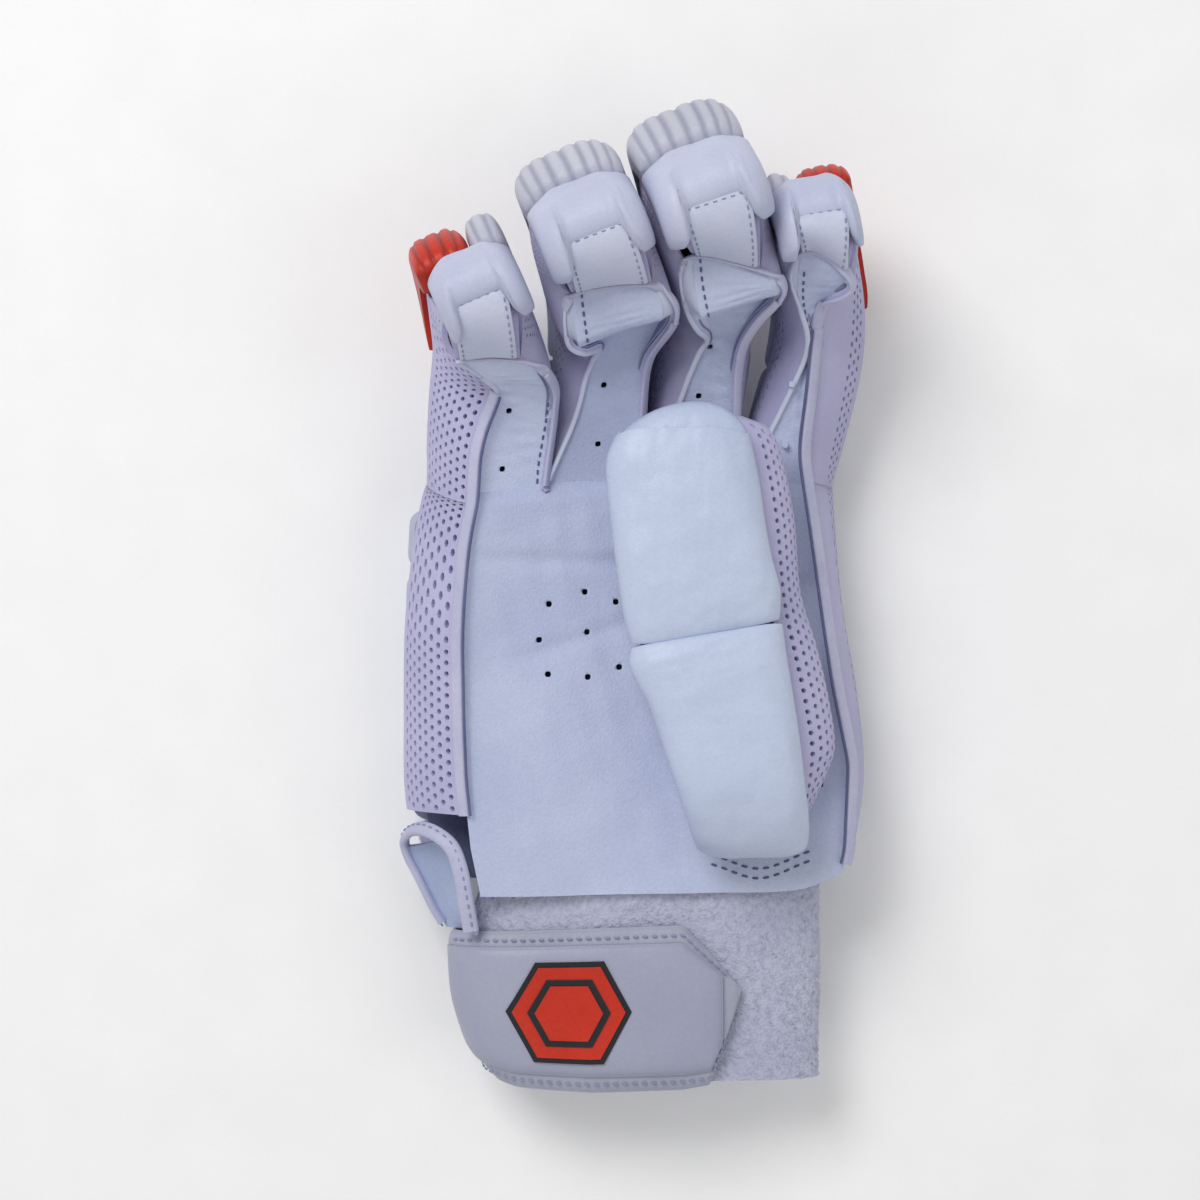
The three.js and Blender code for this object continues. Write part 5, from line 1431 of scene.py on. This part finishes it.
@dataclass
class Thumb:
    """The thumb stall over the palm, with its two thick pads."""

    start: float = -64.0
    length: float = 115.0
    width: float = 38.0
    height: float = 16.0
    floor: float = 42.0
    padding: float = 10.6
    sections: Table = field(default_factory=lambda: Table(
        "at topLeft topRight lowLeft lowRight top low bulge", [
            (0.0, 0.45, 1.13, 0.42, 1.16, 0.22, -0.31, 0.0), (0.06, 0.42, 1.13, 0.38, 1.2, 0.68, -0.335, 0.04),
            (0.17, 0.29, 1.11, 0.27, 1.24, 0.95, -0.345, 0.1), (0.33, 0.13, 1.04, 0.11, 1.19, 1.0, -0.24, 0.12),
            (0.48, 0.0, 0.95, 0.0, 1.1, 1.0, 0.0, 0.11), (0.65, -0.08, 0.9, -0.05, 1.0, 1.0, 0.0, 0.1),
            (0.83, -0.12, 0.83, -0.09, 0.9, 1.0, 0.0, 0.09), (0.94, -0.05, 0.75, -0.02, 0.79, 0.92, 0.05, 0.06),
            (1.0, 0.14, 0.6, 0.14, 0.6, 0.5, 0.2, 0.0)]))
    upper: Table = field(default_factory=lambda: Table("at left right", [
        (-12.1, -2.2, 37.6), (-4.5, -3.9, 37.4), (.3, -4.6, 37.2), (17.6, -6.9, 33.8), (32.6, -8.5, 31.5),
        (38, -8.2, 30.4), (42.5, -5.8, 29.2), (46.5, -1.8, 27.4), (49.8, 3.6, 24.2), (51.7, 9, 20.6), (52.4, 13, 16.4)]))
    lower: Table = field(default_factory=lambda: Table("at left right", [
        (-65.0, 19.5, 40.5), (-63.8, 16.3, 44.2), (-60.4, 14.6, 45.5), (-46.4, 9.4, 43.7), (-29.7, 3.6, 41.4),
        (-13.0, -2.4, 38.8), (-5.0, -2.6, 38.3)]))
    outline: Table = field(default_factory=lambda: Table("at x", [
        (-62, 45.5), (-53.3, 47.7), (-44.8, 51.1), (-38.9, 52.7), (-26.9, 51.1), (-12.5, 47.7), (1.9, 43.4), (20.9, 41.8),
        (35.3, 39.1), (46.2, 34.8), (49.7, 27.1)]))

    def section(self, u: Array, name: str) -> Array:
        """A column of the stall's sections, as a coordinate."""
        value = self.sections.get(name, u)
        if name in ("top", "low"):
            return self.floor + value * self.height
        return value * self.width

    def y(self, u: Array) -> Array:
        """The place along the glove of a share of the stall's length."""
        return self.start + self.length * u

    def pad_surface(self, table: Table, seam_first: bool) -> Surface:
        """The seat of a pad, whose edge at the middle seam slants."""
        low, high = table.at[0], table.at[-1]

        def surface(u: Array, v: Array) -> Array:
            """A point of the seat."""
            u, v = np.broadcast_arrays(np.asarray(u, float), np.asarray(v, float))
            base = mix(low, high, u)
            x = mix(table.get("left", base), table.get("right", base), v)
            near_seam = (1 - share(u, 0.0, 0.35)) if seam_first else share(u, 0.65, 1.0)
            slant = (6.9 * (v - 0.0) if seam_first else 6.9 * (v - 1.0)) * near_seam
            top = self.floor + self.height * self.sections.get("top", np.clip((base - self.start) / self.length, 0, 0.93))
            return np.stack([x, base + slant, top], -1)

        return surface

    def side_surface(self, side: int) -> Surface:
        """A side of the stall; the right one stands out to the outline that the photograph shows."""

        def surface(u: Array, v: Array) -> Array:
            """A point of the side."""
            u, v = np.broadcast_arrays(np.asarray(u, float), np.asarray(v, float))
            y = self.y(u)
            end = "Left" if side < 0 else "Right"
            low = np.stack([self.section(u, "low" + end), y, self.section(u, "low")], -1)
            high = np.stack([self.section(u, "top" + end), y, self.section(u, "top")], -1)
            flat = mix(low, high, v[..., None])
            if side < 0:
                flat[..., 0] -= 0.4 * self.section(u, "bulge") * arch(v)
                return flat
            middle = (low[..., 0] + high[..., 0]) / 2
            flat[..., 0] += np.maximum(self.outline.get("x", y) - middle, 0.0) * arch(v) * ease(share(u, 0, .1))
            return flat

        return surface

    def build(self) -> None:
        """All pieces of the thumb."""
        centre = np.array([self.width / 2, self.y(0.5), self.floor + self.height / 2])
        for name, table, seam_first, seed in (("lower", self.lower, False, 11), ("upper", self.upper, True, 12)):
            mesh = Mesh()
            skin = Skin(self.pad_surface(table, seam_first), centre)
            Pad(skin, u=(0, 1), v=(0, 1), puff=self.padding, gap=0.4, edge=0.3, power=3.4, nu=70, nv=60, seed=seed,
                seam=-1 if seam_first else 1, corner=0.03, size=(58, 40), floor=None).add(mesh)
            Parts.give(mesh, f"thumb_pad_{name}_stuffed", [THUMB_PAD], "padding_leather", [f"thumb_pad_{name}"],
                       fill=0.85)
        body = Mesh()
        for surface, cells in ((self.side_surface(-1), (40, 8)),):
            skin = Skin(surface, centre)
            body.shell(Pattern.grid(*cells), lambda a, b, h: skin.lift(mix(.01, .985, a), b, h), 1.5, (110, 18))
        Parts.give(body, "thumb_inner_wall", [PAD], "padding_leather", ["thumb_inner_side"])
        side = Skin(self.side_surface(1), centre)
        mesh = Mesh()
        cut = Parts.cut_of(self.side_surface(1))
        width, length, _ = cut
        pattern = Pattern.punched(round(length / 3.1), round(width / 2.7), (0.25, 0.27), lambda a, b: b < .05 or b > .93)
        mesh.shell(pattern, lambda a, b, h: side.lift(mix(.01, .985, a), mix(.0, 1, b), h), 1.5, (length, width))
        Parts.give(mesh, "thumb_outer_wall", [MESH_CLOTH], "mesh_fabric", ["thumb_mesh_side"], cut=cut)
        # The lining behind the outer wall is dark: painted shade seen through the holes.
        lining = Mesh()
        lining.shell(Pattern.grid(50, 8), lambda a, b, h: side.lift(mix(.01, .985, a), b, h - 1.75), 0.5, (length, width))
        Parts.give(lining, "thumb_outer_wall_lining", [LINING_AND_HOLE_SHADE], "lining", cut=cut)

        def level(top: bool) -> Surface:
            """The stall's top or bottom."""
            name = "top" if top else "low"

            def surface(u: Array, v: Array) -> Array:
                """A point of it."""
                u, v = np.broadcast_arrays(np.asarray(u, float), np.asarray(v, float))
                x = mix(self.section(u, name + "Left"), self.section(u, name + "Right"), v)
                return np.stack([x, self.y(u), self.section(u, name)], -1)

            return surface

        for top, name, finish, node, run in ((True, "thumb_back_lining", LINING_AND_HOLE_SHADE, "thumb_backing", (0, 1)),
                                             (False, "thumb_under_hide", PALM, "thumb_underside", (.36, .96))):
            mesh = Mesh()
            skin = Skin(level(top), centre)
            mesh.shell(Pattern.grid(40, 12), lambda a, b, h: skin.lift(mix(*run, a), mix(.04, .96, b), h), 1.4, (110, 36))
            Parts.give(mesh, name, [finish], "lining" if top else "palm_leather", [node])


@dataclass
class Cuff:
    """The towelling cuff, its strap with the raised panel and the badge, and the wrist pad."""

    length: float = 52.0
    width: float = 94.0
    height: float = 24.0
    squareness: float = 2.7
    tuck: float = 5.0
    slit_edge: float = 7.0
    strap_width: float = 45.0
    strap_length: float = 101.0
    strap_start: float = -22.0
    setback: float = 9.0
    sections: Table = field(default_factory=lambda: Table("at left right low high", [
        (0.0, -0.475, 0.54, 0.325, 0.885), (0.25, -0.52, 0.54, 0.245, 0.86), (0.55, -0.5, 0.54, 0.225, 0.85),
        (0.8, -0.455, 0.54, 0.22, 0.83), (1.0, -0.4, 0.54, 0.22, 0.82)]))
    edges: tuple = ((0.0, 0.1, 0.86), (0.17, 0.06, 0.88), (0.4, 0.04, 1.0), (0.6, 0.02, 1.02), (0.845, 0.0, 1.0),
                    (0.92, 0.17, 0.97), (1.0, 0.38, 0.43))

    def __post_init__(self) -> None:
        """Measures the cuff's outlines, so that a point can be found by its distance round one."""
        self.shares = np.linspace(0, 1, 61)
        self.reach = np.arange(-140.0, 300.0, 0.5)
        turns = np.linspace(-2 * math.pi, 2 * math.pi, 1441)
        table = []
        for at in self.shares:
            left, right = (self.sections.get(n, at) * self.width for n in ("left", "right"))
            low, high = (self.sections.get(n, at) * HAND_HEIGHT for n in ("low", "high"))
            c, s = np.cos(turns), np.sin(turns)
            power = 2 / self.squareness
            x = (left + right) / 2 - (right - left) / 2 * np.sign(c) * np.abs(c) ** power
            z = (low + high) / 2 + (high - low) / 2 * np.sign(s) * np.abs(s) ** power
            way = np.concatenate([[0.0], np.cumsum(np.hypot(np.diff(x), np.diff(z)))])
            way -= way[720]
            table.append((np.interp(self.reach, way, x), np.interp(self.reach, way, z)))
        self.table = np.array(table)
        self.round = 2 * (self.width + self.height) * 0.9
        self.middle = np.array([0.0, WRIST_Y - self.length / 2, HAND_HEIGHT * 0.55])

    def point(self, at: Array, s: Array) -> Array:
        """The point s millimetres round the outline at a share of the cuff's length."""
        at, s = np.broadcast_arrays(np.asarray(at, float), np.asarray(s, float))
        row = np.clip(at, 0, 1) * 60
        col = np.clip((s - self.reach[0]) / 0.5, 0, len(self.reach) - 1.001)
        i, j = np.clip(row.astype(int), 0, 59), col.astype(int)
        a, b = row - i, col - j
        found = []
        for k in (0, 1):
            t = self.table[:, k]
            found.append(mix(mix(t[i, j], t[i, j + 1], b), mix(t[i + 1, j], t[i + 1, j + 1], b), a))
        y = WRIST_Y + self.tuck - (self.length + self.tuck) * at
        return np.stack([found[0], y, found[1]], -1)

    def strap_point(self, u: Array, v: Array, height: Array, wide: float = 1.0) -> Array:
        """A point of the strap, along and across it, at a height over the cuff."""
        u, v = np.broadcast_arrays(np.asarray(u, float), np.asarray(v, float))
        places = [row[0] for row in self.edges]
        upper = np.interp(u, places, [row[1] for row in self.edges])
        lower = np.interp(u, places, [row[2] for row in self.edges])
        s = self.strap_start + self.strap_length * u
        drop = mix(upper, lower, v)
        at = (self.tuck + self.setback + (0.5 + (drop - 0.5) * wide) * self.strap_width) / (self.length + self.tuck)
        slide = (self.sections.get("left", at) - self.sections.get("left", np.array(0.643))) * self.width
        along = s - slide * share(s, self.strap_start, 0)
        side = self.point(at, along + 0.5) - self.point(at, along - 0.5)
        side[..., 1] = 0
        side = unit(side)
        away = np.stack([side[..., 2], np.zeros_like(u), -side[..., 0]], -1)
        point = self.point(at, along)
        centre = point - self.middle
        centre[..., 1] = 0
        away *= np.where((centre * away).sum(-1) < 0, -1.0, 1.0)[..., None]
        return point + away * np.asarray(height, float)[..., None]

    def build_towelling(self) -> None:
        """The looped towelling, open at the slit."""
        nu, nv = 66, 240
        skin = Skin(lambda u, v: self.point(u, mix(self.slit_edge, self.round - self.slit_edge, v)), self.middle)
        draw = np.random.default_rng(8)
        loops = draw.uniform(-0.42, 0.42, (nu + 1, nv + 1))
        soft = Ripple(9, 40)
        a, b = np.meshgrid(np.linspace(0, 1, nu + 1), np.linspace(0, 1, nv + 1), indexing="ij")
        wave = 0.9 * soft(a * 57, b * 190)
        # Painted shade: the lower loops are darker.
        lie = np.stack([a * 57, b * 190, np.clip(-loops, 0, 1) * 0.7], -1)
        mesh = Mesh()
        inner = draw.uniform(-0.3, 0.3, (nu + 1, nv + 1))
        mesh.between(skin.lift(a, b, wave * 0.7 + loops - 0.3), skin.lift(a, b, wave * 0.7 + inner - 3.0), lie)
        Parts.give(mesh, "cuff_towel", [TOWEL], "towelling", ["cuff_towelling"], cut=Parts.cut_of(skin.surface))

    def plate(self, mesh: Mesh, u: tuple, wide: float, base: float, thick: float, crown: float, slot: int = 0) -> None:
        """Adds a plate of the strap, softly rounded at its edges."""
        i, j = np.meshgrid(np.arange(91) / 90, np.arange(41) / 40, indexing="ij")
        a, b = 0.5 - 0.5 * np.cos(math.pi * i), 0.5 - 0.5 * np.cos(math.pi * j)
        off = np.maximum(np.abs(2 * a - 1) ** 14, np.abs(2 * b - 1) ** 8)
        top = base + thick * np.sqrt(np.maximum(0.08, 1 - off)) + crown * arch(b) + 0.12 * Ripple(3, 20)(a * 80, b * 40)
        place = mix(u[0], u[1], a)
        # Painted shade: darker towards the plate's rounded edges.
        lie = np.stack([a * 80, b * 40, 0.2 * off], -1)
        mesh.between(self.strap_point(place, b, top, wide), self.strap_point(place, b, np.full_like(a, base), wide), lie, slot)

    def build_strap(self) -> None:
        """The strap, its raised panel, the stitching between them and the badge."""
        strap = Mesh()
        self.plate(strap, (0, 1), 1.0, 0.9, 2.4, 0.2)
        Parts.give(strap, "strap_band", [STRAP], "strap_leather", ["strap"])
        panel = Mesh()
        self.plate(panel, (0.22, 0.95), 0.8, 3.5, 1.7, 0.5)
        run = np.linspace(0.24, 0.955, 80)
        for v in (0.055, 0.945):
            path = self.strap_point(run, np.full(80, v), np.full(80, 3.5))
            up = unit(path - self.strap_point(run, np.full(80, v), np.full(80, 1.0)))
            panel.stitches(path, up, 2.6, 1.8, 0.3, slot=1)
        Parts.give(panel, "strap_pad", [STRAP_PANEL, THREAD], "strap_leather", ["strap_panel"])
        self.build_badge()

    def build_badge(self) -> None:
        """A plain six-sided badge with raised rims, and no letters."""
        mesh = Mesh()
        for scale, base, rise, slot in ((1.0, 5.3, 0.7, 1), (0.9, 5.9, 0.5, 0), (0.66, 6.3, 0.45, 1), (0.54, 6.6, 0.5, 0)):
            i, j = np.meshgrid(np.linspace(-1, 1, 25), np.linspace(-1, 1, 25), indexing="ij")
            reach = 16.5 / self.strap_length * scale * (1 - 0.45 * np.abs(j))
            u, v = 0.545 + reach * i, 0.5 + 14.0 / self.strap_width * scale * j
            mesh.between(self.strap_point(u, v, np.full_like(u, base + rise)),
                         self.strap_point(u, v, np.full_like(u, base)), None, slot)
        Parts.give(mesh, "strap_plain_badge", [RED, BLACK], "badge", ["strap_badge"])

    def build(self) -> None:
        """All pieces of the cuff."""
        self.build_towelling()
        self.build_strap()
        mesh = Mesh()
        under = Skin(lambda u, v: self.point(u, -mix(26.0, self.round / 2 - 14.0, v)), self.middle)
        Pad(under, u=(.12, .97), v=(0, 1), puff=9, edge=0.35, nu=30, nv=60, seed=30, size=(45, 80)).add(mesh)
        Parts.give(mesh, "wrist_pad_stuffed", [PAD], "padding_leather", ["wrist_pad"], fill=0.7)


@dataclass
class Slit:
    """The open slit at the wrist, with its rolled binding and the facing inside."""

    binding: tuple = ((-45, -89.4, 36), (-46.2, -81.6, 38), (-47.8, -72.8, 38.4), (-50.5, -66.3, 37.6),
                      (-56, -62.6, 34.8), (-61, -62.6, 28.8), (-64, -66, 23.2), (-63, -71.2, 21.2),
                      (-59.5, -78, 20.8), (-56, -84.7, 20.8), (-53.5, -88.9, 20.8))

    def build(self) -> None:
        """The binding and the facing."""
        path = Line(self.binding).even(1.0)
        mesh = Mesh()
        out = unit(path - np.array([-50, -84, 27.0]))
        mesh.band(path, unit(out + np.array([-0.4, 0, 0.4])), 4.4, 2.4)
        mesh.stitches(path + out * 1.4, out, 2.6, 1.7, 0.28, slot=1)
        Parts.give(mesh, "slit_rolled_binding", [BINDING, THREAD], "piping", ["slit_binding"])
        near = Line(self.binding[:5])
        far = Line(self.binding[:5:-1])

        def surface(u: Array, v: Array) -> Array:
            """A point of the facing between the slit's two edges."""
            u, v = np.broadcast_arrays(np.asarray(u, float), np.asarray(v, float))
            point = mix(near(u), far(u), v[..., None])
            return point + np.array([3.4, 0, -1.6]) * arch(v)[..., None] - np.array([0.0, 1.5, 0.0])

        facing = Mesh()
        skin = Skin(surface, np.array([0, -80.0, 20.0]))
        facing.shell(Pattern.grid(30, 16), lambda a, b, h: skin.lift(mix(0.0, 0.97, a), mix(.04, .96, b), h - 0.4), 1.2,
                     (24, 20))
        for place in (0.2, 0.36):
            run = np.linspace(0.05, 0.8, 40)
            facing.stitches(skin.lift(run, np.full(40, place), -0.25), skin.normal(run, np.full(40, place)), 2.6, 1.8,
                            0.28, slot=1)
        Parts.give(facing, "slit_facing", [FACING, THREAD], "mesh_fabric", cut=Parts.cut_of(surface))


@dataclass
class Studio:
    """A pale floor, soft lights and the camera at the photograph's place."""

    eye: tuple = (-10.0, 0.3, 740.0)
    lens: float = 77.8
    sensor: float = 36.0
    floor_size: float = 6.0
    lamps: tuple = (((-0.55, 0.8, 1.2), 0.7, 11.5), ((0.9, -0.2, 1.1), 1.0, 2.6), ((-0.6, -0.9, 0.9), 1.0, 1.6))

    def build(self) -> None:
        """The floor, the lights and the camera."""
        scene = bpy.context.scene
        data = bpy.data.meshes.new("studio_floor")
        half = self.floor_size / 2
        data.from_pydata([(-half, -half, 0), (half, -half, 0), (half, half, 0), (-half, half, 0)], [], [(0, 1, 2, 3)])
        paper = Finish("studio_paper", "ffffff", "fbfbfb", Cloth.SMOOTH, 0.9, relief=0.001, specular=0.0)
        data.materials.append(paper.material())
        floor = bpy.data.objects.new("studio_floor", data)
        scene.collection.objects.link(floor)
        for number, (place, size, power) in enumerate(self.lamps):
            lamp = bpy.data.lights.new(f"lamp_{number}", "AREA")
            lamp.size, lamp.energy = size, power
            holder = bpy.data.objects.new(f"lamp_{number}", lamp)
            holder.location = place
            direction = -np.array(place)
            holder.rotation_euler = (math.atan2(math.hypot(*direction[:2]), -direction[2]), 0,
                                     math.atan2(direction[1], direction[0]) - math.pi / 2)
            scene.collection.objects.link(holder)
        world = bpy.data.worlds.new("soft_sky")
        world.use_nodes = True
        world.node_tree.nodes["Background"].inputs["Color"].default_value = (1.0, 1.0, 1.0, 1.0)
        world.node_tree.nodes["Background"].inputs["Strength"].default_value = 0.42
        scene.world = world
        scene.view_settings.view_transform = "Standard"
        camera = bpy.data.cameras.new("photo_camera")
        camera.lens, camera.sensor_width = self.lens, self.sensor
        holder = bpy.data.objects.new("photo_camera", camera)
        holder.location = tuple((np.array(self.eye) + Mesh.shift) * MM)
        scene.collection.objects.link(holder)
        scene.camera = holder


def frame_shift(frame: dict) -> Array:
    """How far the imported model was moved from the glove's own layout, read off the thumb's lining.

    Args:
        frame: the loaded frame.

    Returns:
        The shift in millimetres.
    """
    node = frame["nodes"]["thumb_backing"]
    points = np.array([tuple(v.co) for v in node.data.vertices]) / MM
    row = points[points[:, 1] < points[:, 1].min() + 0.01]
    across = (row[:, 0].min() + row[:, 0].max()) / 2
    thumb = Thumb()
    layout = thumb.width * (0.45 + 1.13) / 2
    return np.array([across - layout, points[:, 1].min() - thumb.start, 0.0])


def main() -> None:
    """Builds the glove piece by piece."""
    logging.basicConfig(level=logging.INFO, format="%(message)s")
    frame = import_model()
    Mesh.shift = frame_shift(frame)
    LOG.info("shift %s", Mesh.shift)
    Studio().build()
    fingers = Fingers()
    fingers.build()
    Hand(fingers).build()
    Thumb().build()
    Cuff().build()
    Slit().build()


if __name__ == "__main__":
    main()
